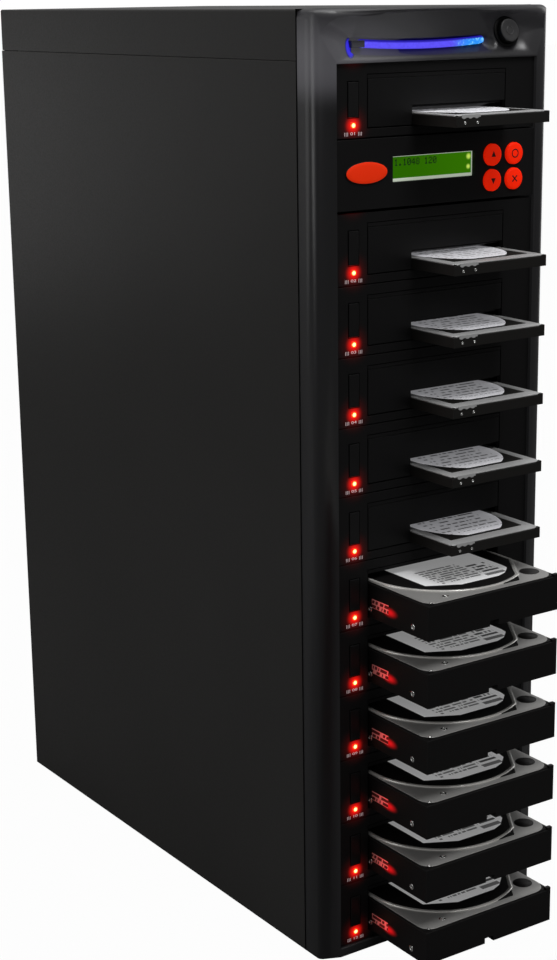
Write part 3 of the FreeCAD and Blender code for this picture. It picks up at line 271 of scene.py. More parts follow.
def finish(shaped, material, body=None, edge=0.0, steps=2):
    """Close a shaped piece, round its edges, give it its finish and fix it to what carries it."""
    if shaped.mode == "EDIT":
        bpy.ops.mesh.select_all(action="SELECT")
        bpy.ops.mesh.remove_doubles(threshold=0.000001)
        bpy.ops.mesh.normals_make_consistent(inside=False)
        bpy.ops.object.mode_set(mode="OBJECT")
    if edge:
        soft = shaped.modifiers.new("edge", "BEVEL")
        soft.width, soft.segments = edge, steps
        soft.limit_method, soft.angle_limit = "ANGLE", math.radians(35)
        bpy.ops.object.modifier_apply(modifier="edge")
    bpy.ops.object.shade_smooth_by_angle(angle=math.radians(35))
    shaped.data.materials.clear()
    shaped.data.materials.append(material)
    if body:
        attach(shaped, body)
    return shaped


bezel_low, bezel_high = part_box("front_bezel")
upright = (math.radians(90), 0, 0)
proud = 0.0001
strip = sheet("seam_shade_strip",
              (bezel_high[0] - bezel_low[0] + proud, 1, bezel_high[2] - bezel_low[2] + proud),
              (0, bezel_high[1] + 0.0002, (bezel_low[2] + bezel_high[2]) / 2), upright)
border(0.0006, (0, -0.0012, 0))
finish(strip, seam_shade_black, "case", edge=0.00005, steps=1)

# ---------------------------------------------------------------- feet
# Four moulded rubber feet in matt black, pressed into the floor sheet.
dress(["rubber_feet"],
      coated("foot_rubber", (0.016, 0.016, 0.016), rough=0.8, grain=1500, peel=0.25, gloss=0.2))

# ---------------------------------------------------------------- docks
# Trays, guide walls, flaps and fronts moulded in matt black plastic with a fine spark-eroded grain.
# A red glow from their lamps is painted onto the fronts. The boards behind them have a green solder
# mask.
dock_black = coated("dock_black", (0.0052, 0.005, 0.0052), rough=0.5, grain=2600, gloss=0.12,
                    fold=0.00035, wear=0.35)
dress(["dock_trays", "dock_rails", "held_flaps"], dock_black)
dress(["circuit_boards"], coated("solder_mask", (0.01, 0.08, 0.03), rough=0.35, grain=400, cloud=60))
flap_black = coated("flap_black", (0.0046, 0.0045, 0.0047), rough=0.42, grain=2600, peel=0.1,
                    gloss=0.16, fold=0.00035, wear=0.35)
dress([name for name in nodes if name.startswith(("flap_", "slot_flap_"))], flap_black)
dress([name for name in nodes if name.startswith("eject_button_")],
      coated("key_black", (0.005, 0.0048, 0.005), rough=0.36, grain=2600, peel=0.08, gloss=0.22,
             fold=0.0005, wear=0.5))

# ---------------------------------------------------------------- status lamps
# Clear square light pipes, one per dock: a yellow-white core and a red rim. The red glow that spreads
# over the dock front round each of them is painted light, a glow in the fronts' own finish.
lamp_low, lamp_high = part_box("status_lamps")
bay_pitch = 0.042  # a half-height bay
lamp_x = (lamp_low[0] + lamp_high[0]) / 2
lamp_z = lamp_high[2] - (lamp_high[0] - lamp_low[0]) / 2


def plot(tree):
    """A piece's own x, y and z."""
    axes = tree.nodes.new("ShaderNodeSeparateXYZ")
    tree.links.new(tree.nodes.new("ShaderNodeTexCoord").outputs["Object"], axes.inputs[0])
    return axes.outputs


def apart(tree, across, up):
    """How far a point is from a middle, by its offsets across and up."""
    squares = [calc(tree, "POWER", offset, 2.0) for offset in (across, up)]
    return calc(tree, "SQRT", calc(tree, "ADD", *squares))


def in_bay(tree, z, level):
    """The height above a level that comes again in each bay."""
    return calc(tree, "WRAP", calc(tree, "SUBTRACT", z, level), bay_pitch / 2, -bay_pitch / 2)


def from_lamp(tree):
    """How far a point is from the middle of the nearest lamp, across the front."""
    x, y, z = plot(tree)
    return apart(tree, calc(tree, "SUBTRACT", x, lamp_x), in_bay(tree, z, lamp_z))


def lens(name, colour, rough, gloss=0.5):
    """A plain clear or frosted plastic, to be lit from behind."""
    material = bpy.data.materials.new(name)
    material.use_nodes = True
    shader = material.node_tree.nodes["Principled BSDF"]
    shader.inputs["Base Color"].default_value = (*colour, 1)
    shader.inputs["Roughness"].default_value = rough
    shader.inputs["Specular IOR Level"].default_value = gloss
    return material


def glows(material, colour, strength):
    """Let a material give off light, with values or with steps of its nodes."""
    shader = material.node_tree.nodes["Principled BSDF"]
    for name, value in (("Emission Color", colour), ("Emission Strength", strength)):
        if isinstance(value, (tuple, float)):
            shader.inputs[name].default_value = value
        else:
            material.node_tree.links.new(value, shader.inputs[name])


lamp_lens = lens("lamp_lens", (0.5, 0.01, 0.005), 0.2)
tree = lamp_lens.node_tree
heat = span(tree, from_lamp(tree), 0.0002, 0.0019)
glows(lamp_lens, blend(tree, heat, (1.0, 0.72, 0.2), (1.0, 0.005, 0.002)),
      span(tree, heat, 0, 1, 5.0, 1.6))
dress(["status_lamps"], lamp_lens)

# Painted glow: the dock fronts give off red light of their own, strongest close to each lamp.
dock_glow = dock_black.copy()
dock_glow.name = "dock_glow"
tree = dock_glow.node_tree
distance = from_lamp(tree)
close = calc(tree, "POWER", span(tree, distance, 0.0014, 0.0072, 1.0, 0.0), 1.6)
wide = calc(tree, "POWER", span(tree, distance, 0.001, 0.016, 1.0, 0.0), 2.0)
halo = calc(tree, "ADD", mult(tree, close, 0.8), mult(tree, wide, 0.05))
glows(dock_glow, (1.0, 0.008, 0.004, 1), halo)
dress(["dock_faces"], dock_glow)

# ---------------------------------------------------------------- dock numbers
# The number of each bay, printed in white ink under its lamp between plain strokes. A weak light of
# the ink's own stands for the lamp's light on it.
ink_white = coated("ink_white", (0.6, 0.58, 0.59), rough=0.6, grain=6000, drift=0.1)
glows(ink_white, (0.9, 0.62, 0.64, 1), 0.3)
face_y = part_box("dock_faces")[0][1]
docks = [number for number in range(13) if number != 1]
figure_height, below_lamp, ink_depth = 0.0017, 0.0047, 0.00006
figures = []
for number, bay in enumerate(docks, start=1):
    bpy.ops.object.select_all(action="DESELECT")
    bpy.ops.object.text_add(location=(lamp_x, face_y, lamp_z - bay_pitch * bay - below_lamp),
                            rotation=upright)
    text = bpy.context.object
    text.name = f"dock_number_{number:02d}"
    text.data.body = f"||| {number:02d} |||"
    text.data.size = figure_height * 1.4
    text.data.align_x = text.data.align_y = "CENTER"
    text.data.extrude = ink_depth
    text.data.resolution_u = 3
    text.scale.x = 1.75
    bpy.ops.object.convert(target="MESH")
    bpy.ops.object.transform_apply(location=True, rotation=True, scale=True)
    figures.append(bpy.context.object)
bpy.ops.object.select_all(action="DESELECT")
for figure in figures:
    figure.select_set(True)
bpy.context.view_layer.objects.active = figures[0]
bpy.ops.object.join()
numbers = bpy.context.object
numbers.name = numbers.data.name = "dock_numbers"
finish(numbers, ink_white, "case")

# ---------------------------------------------------------------- gap shade
# Narrow near-black rings round each flap and each eject button, laid on the dock fronts: painted
# shade of the gaps that let flap and button move.
gap_shade_black = coated("gap_shade_black", (0.0008, 0.0008, 0.0008), rough=0.7, grain=3000, peel=0.05,
                      gloss=0.0, fold=0.0002)


def again(shaped, name, shift, body):
    """The same piece once more, with its own mesh, moved and fixed to what carries it."""
    other = shaped.copy()
    other.data = shaped.data.copy()
    other.name = other.data.name = name
    other.data.transform(Matrix.Translation(shift))
    bpy.context.collection.objects.link(other)
    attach(other, body)


clearance = 0.0007
for name, moving, line in (("flap_gap_shade", "flap_01", 0.0006),
                           ("key_gap_shade", "eject_button_01", 0.0005)):
    low_corner, high_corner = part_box(moving)
    gap_shade = sheet(name, (high_corner[0] - low_corner[0] + clearance + line, 1,
                          high_corner[2] - low_corner[2] + clearance + line),
                   ((low_corner[0] + high_corner[0]) / 2, face_y - 0.00003,
                    (low_corner[2] + high_corner[2]) / 2), upright)
    border(line / 2 + 0.0001, (0, 0.0002, 0))
    finish(gap_shade, gap_shade_black)
    for number, bay in enumerate(docks, start=1):
        again(gap_shade, f"{name}_{number:02d}", (0, 0, -bay_pitch * bay), "case")
    bpy.data.objects.remove(gap_shade)

# ---------------------------------------------------------------- large drives
# A 3.5 inch disk drive: black cast base, and a pressed aluminium cover held by small star-headed
# screws. A polished bead runs round the middle of the cover, which carries the paper label.
large_drives = [f"drive_{number:02d}" for number in range(7, 13)]
small_drives = [f"drive_{number:02d}" for number in range(1, 7)]


def each_drive(shaped, drives):
    """The same piece again on every drive of its kind, each with its own mesh."""
    stem = shaped.name
    home = Vector(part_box(drives[0])[0])
    for drive in drives[1:]:
        again(shaped, f"{stem}_{drive[-2:]}", Vector(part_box(drive)[0]) - home, drive)
    shaped.name = shaped.data.name = f"{stem}_{drives[0][-2:]}"
    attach(shaped, drives[0])


def sunk(thickness):
    """Give a flat outline a thickness below it."""
    bpy.ops.mesh.select_all(action="SELECT")
    pull((0, 0, -thickness))


def trimmed(point, normal):
    """Cut away what lies beyond a plane."""
    bpy.ops.mesh.select_all(action="SELECT")
    bpy.ops.mesh.bisect(plane_co=point, plane_no=Vector(normal).normalized(), clear_outer=True)


def choose(shaped, kind, test):
    """Select only the corners, edges or faces that pass a test."""
    bpy.ops.mesh.select_mode(type=kind)
    bpy.ops.mesh.select_all(action="DESELECT")
    mesh = bmesh.from_edit_mesh(shaped.data)
    for part in {"VERT": mesh.verts, "EDGE": mesh.edges, "FACE": mesh.faces}[kind]:
        part.select = test(part)
    if kind == "VERT":
        mesh.select_flush(True)
    bmesh.update_edit_mesh(shaped.data)


def rounded(shaped, x, y, radius, steps):
    """Round one corner of a flat outline."""
    choose(shaped, "VERT", lambda corner: math.hypot(corner.co.x - x, corner.co.y - y) < 0.003)
    bpy.ops.mesh.bevel(offset=radius, offset_type="OFFSET", segments=steps, affect="VERTICES")


def disc(name, sides, radius, place, turn=(0, 0, 0)):
    """Open a round flat plate, facing along its turned Z axis."""
    return begin(name, bpy.ops.mesh.primitive_circle_add, vertices=sides, radius=radius,
                 fill_type="NGON", location=place, rotation=turn)


def steps_in(*steps):
    """Inset the chosen face in steps, each of a width and a rise."""
    for width, rise in steps:
        bpy.ops.mesh.inset(thickness=width, depth=rise)


cast_black = coated("cast_black", (0.0046, 0.0042, 0.0042), rough=0.5, grain=1800, peel=0.2, gloss=0.14,
                    fold=0.0005, wear=0.5)
dress(large_drives, cast_black)
pressed_cover = coated("pressed_cover", (0.34, 0.335, 0.325), rough=0.38, rough_span=0.1, metal=0.45,
                       drift=0.15, grain=2400, peel=0.05, gloss=0.5, cloud=18, stretch=(1, 0.25, 1))
polished_bead = coated("polished_bead", (0.7, 0.69, 0.66), rough=0.24, rough_span=0.06, metal=0.5,
                       drift=0.08, grain=3000, peel=0.03, gloss=0.5)
bright_screw = coated("bright_screw", (0.75, 0.75, 0.73), rough=0.2, metal=1.0, drift=0.1, grain=4000,
                      peel=0.05)

(left, front, base), (right, back, crown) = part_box("drive_07")
shelf = crown - 0.0009
rim_gap = 0.0022

cover = sheet("drive_cover", (right - left - rim_gap, back - front - rim_gap, 1),
              (0, (front + back) / 2, shelf + 0.00022))
rounded(cover, left, front, 0.0085, 10)
rounded(cover, right, front, 0.0105, 10)
sunk(0.0004)
finish(cover, pressed_cover, edge=0.00018)
each_drive(cover, large_drives)

zone_middle = Vector((0.0025, front + 0.057, 0))
bead = disc("drive_bead", 160, 0.0519, (zone_middle.x, zone_middle.y, shelf + 0.0002))
trimmed((0, zone_middle.y, 0), (0, 1, 0))
choose(bead, "EDGE", lambda rim: all(abs(end.co.y - zone_middle.y) < 0.00001 for end in rim.verts))
pull((0, back - 0.011 - zone_middle.y, 0))
bpy.ops.mesh.select_all(action="SELECT")
bpy.ops.mesh.dissolve_limited(angle_limit=math.radians(0.5))
trimmed((0.0484, 0, 0), (1, 0, 0))
trimmed((0.0252, front + 0.0052, 0), (0.035, -0.0231, 0))
bpy.ops.mesh.select_mode(type="FACE")
bpy.ops.mesh.select_all(action="SELECT")
bpy.ops.mesh.dissolve_limited(angle_limit=math.radians(0.5))
bpy.ops.mesh.select_all(action="SELECT")
pull((0, 0, 0.00078))
steps_in((0.0006, 0.00024), (0.0011, 0), (0.0006, -0.00024), (0.0003, -0.0003))
finish(bead, polished_bead, edge=0.00012)
each_drive(bead, large_drives)


def patch(tree, x, y, x_limits, y_limits):
    """1 inside a rectangle and 0 outside it."""
    sides = [mult(tree, calc(tree, "GREATER_THAN", value, low),
                  calc(tree, "LESS_THAN", value, high))
             for value, (low, high) in ((x, x_limits), (y, y_limits))]
    return mult(tree, *sides)


def print_lines(tree, along, down, pitch, share, dash, cut):
    """Lines of small print with gaps where words end, as bars and nothing that can be read."""
    row = calc(tree, "DIVIDE", down, pitch)
    ink = calc(tree, "LESS_THAN", calc(tree, "FRACT", row), share)
    words = tree.nodes.new("ShaderNodeTexWhiteNoise")
    words.noise_dimensions = "2D"
    spot = tree.nodes.new("ShaderNodeCombineXYZ")
    tree.links.new(calc(tree, "FLOOR", calc(tree, "DIVIDE", along, dash)), spot.inputs["X"])
    tree.links.new(calc(tree, "FLOOR", row), spot.inputs["Y"])
    tree.links.new(spot.outputs[0], words.inputs["Vector"])
    return mult(tree, ink, calc(tree, "GREATER_THAN", words.outputs["Value"], cut))


def printed(material, ink, colour):
    """Lay ink of a colour over a finish."""
    tree = material.node_tree
    base = tree.nodes["Principled BSDF"].inputs["Base Color"]
    tree.links.new(blend(tree, ink, base.links[0].from_socket, colour), base)


paper_label = coated("paper_label", (0.66, 0.665, 0.67), rough=0.5, drift=0.06, grain=1200, peel=0.06)
tree = paper_label.node_tree
x, y, z = plot(tree)
fine = mult(tree, print_lines(tree, x, y, 0.0036, 0.5, 0.001, 0.24),
            patch(tree, x, y, (-0.02, 0.012), (front + 0.0245, front + 0.0525)))
bold = mult(tree, print_lines(tree, x, y, 0.0046, 0.55, 0.0016, 0.25),
            patch(tree, x, y, (0.014, 0.029), (front + 0.029, front + 0.047)))
block_mark = patch(tree, x, y, (0.0135, 0.0285), (front + 0.0225, front + 0.0265))
fine, bold, block_mark = (mult(tree, ink, black)
                          for ink, black in ((fine, 0.8), (bold, 0.92), (block_mark, 0.8)))
ink = calc(tree, "MAXIMUM", calc(tree, "MAXIMUM", fine, bold), block_mark)
printed(paper_label, ink, (0.02, 0.02, 0.022))
# Painted light: the paper gives off a faint white glow of its own, so the labels stay bright under the
# drive above.
glows(paper_label, (1, 1, 1, 1), mult(tree, calc(tree, "SUBTRACT", 1.0, ink), 0.2))

label = sheet("drive_label", (0.0648, 0.0804, 1), (0.0022, front + 0.0588, crown + 0.00014))
trimmed((-0.0102, front + 0.0186, 0), (-0.0099, -0.0192, 0))
trimmed((0.0263, front + 0.0214, 0), (0.0027, -0.007, 0))
trimmed((0.0263, front + 0.0214, 0), (0.0066, -0.0072, 0))
trimmed((0.0336, front + 0.028, 0), (0.0058, -0.0011, 0))
sunk(0.0003)
finish(label, paper_label, edge=0.00004, steps=1)
each_drive(label, large_drives)

plug_black = coated("plug_black", (0.012, 0.011, 0.011), rough=0.55, grain=2000, peel=0.2, gloss=0.2)
plug = disc("drive_plug", 40, 0.0062, (0.0409, front + 0.0157, shelf + 0.00024))
pull((0, 0, 0.00016))
steps_in((0.0007, -0.0001))
finish(plug, plug_black, edge=0.00005)
each_drive(plug, large_drives)


def star_screw(name, place, radius, turn, rise):
    """A low round screw head with a round recess, facing along its turned Z axis."""
    head = disc(name, 24, radius, place, turn)
    pull(Matrix.Rotation(turn[1], 3, "Y") @ Matrix.Rotation(turn[0], 3, "X") @ Vector((0, 0, rise)))
    steps_in((radius * 0.22, rise * 0.35), (radius * 0.28, 0), (0, -rise * 0.9))
    return head


for number, (across, deep, radius) in enumerate([(-0.0317, 0.0079, 0.0021), (-0.0466, 0.0028, 0.001)]):
    screw = star_screw(f"cover_screw_{number}", (across, front + deep, shelf + 0.00024), radius,
                       (0, 0, 0), 0.0003)
    finish(screw, bright_screw, edge=0.00006)
    each_drive(screw, large_drives)

# Threaded bosses in both sides of the casting, bright where the tap has cut through the paint.
for side, sign in (("left", -1), ("right", 1)):
    for number, deep in enumerate((0.0145, 0.0565)):
        boss = star_screw(f"side_boss_{side}_{number}", (sign * right, front + deep, base + 0.0052),
                          0.0019, (0, sign * math.radians(90), 0), 0.0002)
        finish(boss, bright_screw, edge=0.00006)
        each_drive(boss, large_drives)

# A narrow paper strip on the left side, with the red light of the lamp beside it painted on: a
# reddish tint and a red glow that fades towards its back end.
strip_paper = coated("strip_paper", (0.38, 0.2, 0.19), rough=0.5, drift=0.1, grain=1500, peel=0.05)
tree = strip_paper.node_tree
x, y, z = plot(tree)
slanted = calc(tree, "ADD", y, mult(tree, z, 0.25))
bars = print_lines(tree, slanted, calc(tree, "ADD", z, 1.0), 0.0028, 0.72, 0.0011, 0.42)
printed(strip_paper, bars, (0.02, 0.004, 0.004))
shine = span(tree, y, front + 0.0382, front + 0.0527, 0.55, 0.05)
glows(strip_paper, (1.0, 0.02, 0.02, 1),
      mult(tree, shine, calc(tree, "SUBTRACT", 1.15, bars)))
strip_z = lamp_z - bay_pitch * 7 + 0.00785
strip = sheet("side_strip", (1, 0.0165, 0.0058), (left - 0.00006, front + 0.0464, strip_z),
              (0, math.radians(-90), 0))
pull((0.0001, 0, 0))
finish(strip, strip_paper, edge=0.00003, steps=1)
each_drive(strip, large_drives)

# The lamp's own red reflection on the casting, just ahead of that strip, painted in as a red glow of
# the finish.
tree = cast_black.node_tree
x, y, z = plot(tree)
along = mult(tree, calc(tree, "SUBTRACT", y, front + 0.0372), 0.42)
reach = apart(tree, along, in_bay(tree, z, strip_z - 0.0012))
spill = mult(tree, calc(tree, "POWER", span(tree, reach, 0.0002, 0.0042, 1.0, 0.0), 1.5),
             calc(tree, "LESS_THAN", x, left + 0.0003))
glows(cast_black, (1.0, 0.006, 0.01, 1), mult(tree, spill, 0.7))

# ---------------------------------------------------------------- small drives
# A 2.5 inch disk drive: brown-black cast base, a bright stamped cover with its label, folded tabs and
# two screws at the front left corner.
small_cast = coated("small_cast", (0.0085, 0.0078, 0.007), rough=0.5, grain=1800, peel=0.15, gloss=0.2,
                    wear=0.4)
dress(small_drives, small_cast)
(left, front, base), (right, back, crown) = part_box("drive_01")
stamped = coated("stamped_cover", (0.5, 0.5, 0.5), rough=0.36, rough_span=0.1, metal=0.4, drift=0.12,
                 grain=2400, peel=0.04, gloss=0.5, cloud=30, stretch=(0.2, 1, 1))
shelf = crown - 0.0004
rim_gap = 0.0008
lid = sheet("small_cover", (right - left - rim_gap, back - front - rim_gap, 1),
            ((left + right) / 2, (front + back) / 2, shelf + 0.0002))
rounded(lid, left, front, 0.0022, 6)
rounded(lid, right, front, 0.0042, 6)
sunk(0.0007)
finish(lid, stamped, edge=0.00012)
each_drive(lid, small_drives)

small_paper = coated("small_paper", (0.74, 0.74, 0.77), drift=0.05, grain=1500, peel=0.04, gloss=0.4)
tree = small_paper.node_tree
x, y, z = plot(tree)
ink = mult(tree, print_lines(tree, x, y, 0.006, 0.3, 0.0014, 0.45),
           patch(tree, x, y, (left + 0.012, right - 0.014), (front + 0.018, front + 0.08)))
printed(small_paper, mult(tree, ink, 0.45), (0.05, 0.05, 0.055))
# Painted light: the paper gives off a faint glow of its own where there is no ink.
glows(small_paper, (0.95, 0.95, 1, 1), mult(tree, calc(tree, "SUBTRACT", 1.0, ink), 0.16))
plate = disc("small_label", 96, 0.029, ((left + right) / 2, front + 0.0445, crown + 0.00014))
bpy.ops.transform.resize(value=(1, 1.25, 1))
trimmed((0, front + 0.0118, 0), (0, -1, 0))
sunk(0.0003)
finish(plate, small_paper, edge=0.00005, steps=1)
each_drive(plate, small_drives)

# The cover's folded tabs: short teeth that clip over the front edge.
tab = sheet("small_tab", (0.0138, 1, 0.0018), (left + 0.0108, front - 0.0001, shelf - 0.0004), upright)
bpy.ops.mesh.subdivide(number_cuts=11)
mesh = bmesh.from_edit_mesh(tab.data)
lowest = min(corner.co.z for corner in mesh.verts)
columns = sorted({round(corner.co.x, 6) for corner in mesh.verts})
choose(tab, "VERT", lambda corner: corner.co.z < lowest + 0.00001
       and columns.index(round(corner.co.x, 6)) % 4 in (1, 2))
bpy.ops.transform.translate(value=(0, 0, -0.0006))
bpy.ops.mesh.select_all(action="SELECT")
pull((0, 0.0003, 0))
finish(tab, stamped, edge=0.00005, steps=1)
each_drive(tab, small_drives)
for number, across in enumerate((0.0062, 0.0154)):
    screw = star_screw(f"small_screw_{number}", (left + across, front - 0.00005, base + 0.0024), 0.0009,
                       upright, 0.00025)
    finish(screw, bright_screw, edge=0.00004)
    each_drive(screw, small_drives)

# ---------------------------------------------------------------- bezel
# One moulding in dark grey satin plastic, clipped over the front of the case. The violet spill of
# the bar's light over the left end of its well, and a pale sheen on the brow, are painted light.
bezel_grey = coated("bezel_grey", (0.014, 0.0137, 0.015), rough=0.36, rough_span=0.05, grain=2600,
                    peel=0.08, gloss=0.5, fold=0.0016, drift=0.12)
tree = bezel_grey.node_tree
x, y, z = plot(tree)
bar_low, bar_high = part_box("light_bar")


def near_point(tree, x, z, spot_x, spot_z, squeeze, inner, outer):
    """1 close to a point of the front and 0 away from it; squeeze narrows it sideways."""
    across = mult(tree, calc(tree, "SUBTRACT", x, spot_x), squeeze)
    reach = apart(tree, across, calc(tree, "SUBTRACT", z, spot_z))
    return span(tree, reach, inner, outer, 1.0, 0.0)


# Painted spill of the bar's violet light, round the left end of the well and along the bar.
left_spill = near_point(tree, x, z, bar_low[0] - 0.0072, bar_high[2] - 0.0048, 1.9, 0.0035, 0.0062)
off_bar = calc(tree, "ABSOLUTE", calc(tree, "SUBTRACT", z, bar_high[2] - 0.0050))
bar_ends = mult(tree, span(tree, x, bar_low[0] - 0.003, bar_low[0] + 0.006),
                span(tree, x, bar_high[0] + 0.0005, bar_high[0] + 0.006, 1.0, 0.0))
bar_spill = mult(tree, span(tree, off_bar, 0.003, 0.0062, 1.0, 0.0), bar_ends)
brow_left, brow_top = bezel_low[0], bezel_high[2]
sheen = mult(tree, near_point(tree, x, z, brow_left + 0.012, brow_top - 0.028, 0.45, 0.004, 0.036),
             span(tree, z, brow_top - 0.06, brow_top - 0.04))
# A painted sheen, paler towards the top of the brow.
brow_top_sheen = span(tree, z, brow_top - 0.040, brow_top - 0.004, 0.0, 0.16)
blue = calc(tree, "ADD", mult(tree, left_spill, 0.8), mult(tree, bar_spill, 0.025))
pale = mult(tree, calc(tree, "MAXIMUM", sheen, brow_top_sheen), 0.06)
glows(bezel_grey,
      blend(tree, calc(tree, "GREATER_THAN", blue, pale), (0.92, 0.9, 1.0), (0.03, 0.02, 0.85)),
      calc(tree, "MAXIMUM", blue, pale))

# The moulding's two top corners are rounded off from front to back.
moulding = nodes["front_bezel"].copy()
moulding.data = nodes["front_bezel"].data.copy()
moulding.name = moulding.data.name = "bezel_moulding"
bpy.context.collection.objects.link(moulding)
bpy.ops.object.select_all(action="DESELECT")
moulding.select_set(True)
bpy.context.view_layer.objects.active = moulding
bpy.ops.object.mode_set(mode="EDIT")
bpy.ops.mesh.select_all(action="SELECT")
bpy.ops.mesh.remove_doubles(threshold=0.000001)
bpy.ops.object.mode_set(mode="OBJECT")
corner_round = 0.0052


def cut_by(shaped, tool):
    """Cut away what a piece shares with another, which is then done with."""
    change = shaped.modifiers.new("shape", "BOOLEAN")
    change.operation, change.object, change.solver = "DIFFERENCE", tool, "EXACT"
    bpy.ops.object.select_all(action="DESELECT")
    bpy.context.view_layer.objects.active = shaped
    shaped.select_set(True)
    bpy.ops.object.modifier_apply(modifier="shape")
    bpy.data.objects.remove(tool)


block = 0.1
for sign in (-1, 1):
    spot = (sign * (bezel_high[0] - corner_round), (bezel_low[1] + bezel_high[1]) / 2,
            brow_top - corner_round)
    nook = begin("corner_nook", bpy.ops.mesh.primitive_cube_add, size=block,
                 location=(spot[0] + sign * block / 2, spot[1], spot[2] + block / 2))
    bpy.ops.object.mode_set(mode="OBJECT")
    drum = begin("corner_drum", bpy.ops.mesh.primitive_cylinder_add, vertices=64, radius=corner_round,
                 depth=block * 2, location=spot, rotation=upright)
    bpy.ops.object.mode_set(mode="OBJECT")
    cut_by(nook, drum)
    cut_by(moulding, nook)
finish(moulding, bezel_grey, "case")
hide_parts("front_bezel")

# ---------------------------------------------------------------- light bar
# A curved frosted lens, violet-blue and brightest along its middle, with the cold blue diode showing
# through at its right end. It is pushed into its slot from behind.
bar_lens = lens("bar_lens", (0.02, 0.015, 0.2), 0.4, 0.05)
tree = bar_lens.node_tree
x, y, z = plot(tree)
bar_middle = (bar_low[0] + bar_high[0]) / 2
bar_half = (bar_high[0] - bar_low[0]) / 2
off_middle = calc(tree, "DIVIDE", calc(tree, "SUBTRACT", x, bar_middle), bar_half)
bend = mult(tree, calc(tree, "POWER", off_middle, 2.0), 0.0017)
rim = calc(tree, "ABSOLUTE",
           calc(tree, "SUBTRACT", calc(tree, "SUBTRACT", z, bar_low[2] + 0.0028), bend))
core = span(tree, rim, 0.0013, 0.0025, 1.0, 0.0)
frost = noise(tree, tree.nodes.new("ShaderNodeTexCoord").outputs["Object"], 700, 3)
cold = span(tree, x, bar_high[0] - 0.026, bar_high[0] - 0.010)
left_end = span(tree, x, bar_low[0] + 0.008, bar_low[0], 0.0, 0.8)
body_colour = blend(tree, cold, (0.10, 0.075, 0.82), (0.012, 0.30, 0.9))
sparkle = mult(tree, span(tree, frost, 0.5, 0.72), calc(tree, "MAXIMUM", cold, left_end))
bright_colour = blend(tree, mult(tree, sparkle, 0.8), body_colour, (0.35, 0.85, 1.0))
glows(bar_lens, blend(tree, core, (0.005, 0.0, 0.24), bright_colour),
      span(tree, frost, 0.2, 0.8, 0.85, 1.1))
dress(["light_bar"], bar_lens)

# A small grey stop at the left end of the well, where the lens is clipped in.
stop_grey = coated("stop_grey", (0.045, 0.045, 0.055), rough=0.5, grain=2500, peel=0.08)
stop = sheet("bar_stop", (0.0092, 0.0034, 0.0040),
             (bar_low[0] - 0.0006, bar_low[1] + 0.0014, bar_high[2] - 0.0026),
             add=bpy.ops.mesh.primitive_cube_add)
choose(stop, "FACE", lambda face: face.normal.y < -0.9)
steps_in((0.0005, -0.0003))
finish(stop, stop_grey, "case", edge=0.0003)

# ---------------------------------------------------------------- power button
# A round push button in the same satin plastic, with a raised rim, a dished face and a plain moulded
# ring. It runs in a black collar that is pressed into the bezel from the front.
button_grey = coated("button_grey", (0.024, 0.0236, 0.0248), rough=0.34, grain=2600, peel=0.08,
                     gloss=0.4, wear=0.7)
# The cap's side is the same plastic, painted near black as the shade under its face.
button_side_shade = coated("button_side_shade", (0.0025, 0.0025, 0.0026), rough=0.4, grain=2600, peel=0.08,
                     gloss=0.15)
collar_black = coated("collar_black", (0.0022, 0.0022, 0.0023), rough=0.5, grain=2600, peel=0.08,
                      gloss=0.1)
lean = math.radians(14)
outward = Vector((0, -math.cos(lean), math.sin(lean)))
press_low, press_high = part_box("power_button")
cap_radius = (press_high[0] - press_low[0]) / 2
# The middle of the button's flat face follows from the box of the tilted disc.
press_middle = Vector(((press_low[0] + press_high[0]) / 2, press_low[1] + cap_radius * math.sin(lean),
                       press_high[2] - cap_radius * math.cos(lean)))
facing_out = (math.radians(90) - lean, 0, 0)
radius = 0.0070
face_middle = press_middle + Vector((0.0006, 0, 0))
cap_length, set_back = 0.0113, 0.0002
press = disc("power_cap", 72, radius, face_middle - outward * (cap_length + set_back), facing_out)
pull(outward * cap_length)
finish(press, button_side_shade, "power_button", edge=0.0003)
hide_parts("power_button")
face = disc("power_face", 72, radius - 0.0003, face_middle - outward * 0.0004, facing_out)
pull(outward * 0.0005)
steps_in((0.0009, 0.0001), (0.0009, -0.0003))
finish(face, button_grey, "power_button", edge=0.0001)
collar = disc("power_collar", 72, 0.0092, face_middle - outward * 0.0038, facing_out)
pull(outward * 0.0006)
steps_in((0.0006, 0.0002), (0.0014, -0.0001))
pull(outward * -0.003)
finish(collar, collar_black, "case", edge=0.0001)
mark_grey = coated("mark_grey", (0.06, 0.058, 0.06), rough=0.35, grain=2600, peel=0.05, gloss=0.5)
mark = begin("power_mark", bpy.ops.mesh.primitive_torus_add, major_radius=0.0024, minor_radius=0.0002,
             major_segments=48, minor_segments=10, location=face_middle - outward * 0.00005,
             rotation=facing_out)


def in_gap(quad):
    """True for the part of the ring that is left open at its top."""
    spot = quad.calc_center_median() - face_middle
    return abs(spot.x) < 0.0008 and spot.z > 0


choose(mark, "FACE", in_gap)
bpy.ops.mesh.delete(type="FACE")
bpy.ops.mesh.select_all(action="SELECT")
bpy.ops.mesh.fill_holes(sides=12)
finish(mark, mark_grey, "power_button")

# ---------------------------------------------------------------- control panel
# The same matt plastic as the docks, screwed to the bay. Behind its window a green display shows a row
# of dot-matrix figures, lit by two diodes at its right end, in a white plastic frame.
dress(["control_panel"], dock_black)
glass_low, glass_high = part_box("display_module")
frame_in = 0.005
win_left, win_right = glass_low[0] + frame_in, glass_high[0] - frame_in
win_foot, win_top = glass_low[2] + frame_in, glass_high[2] - frame_in
glass_y = glass_low[1]

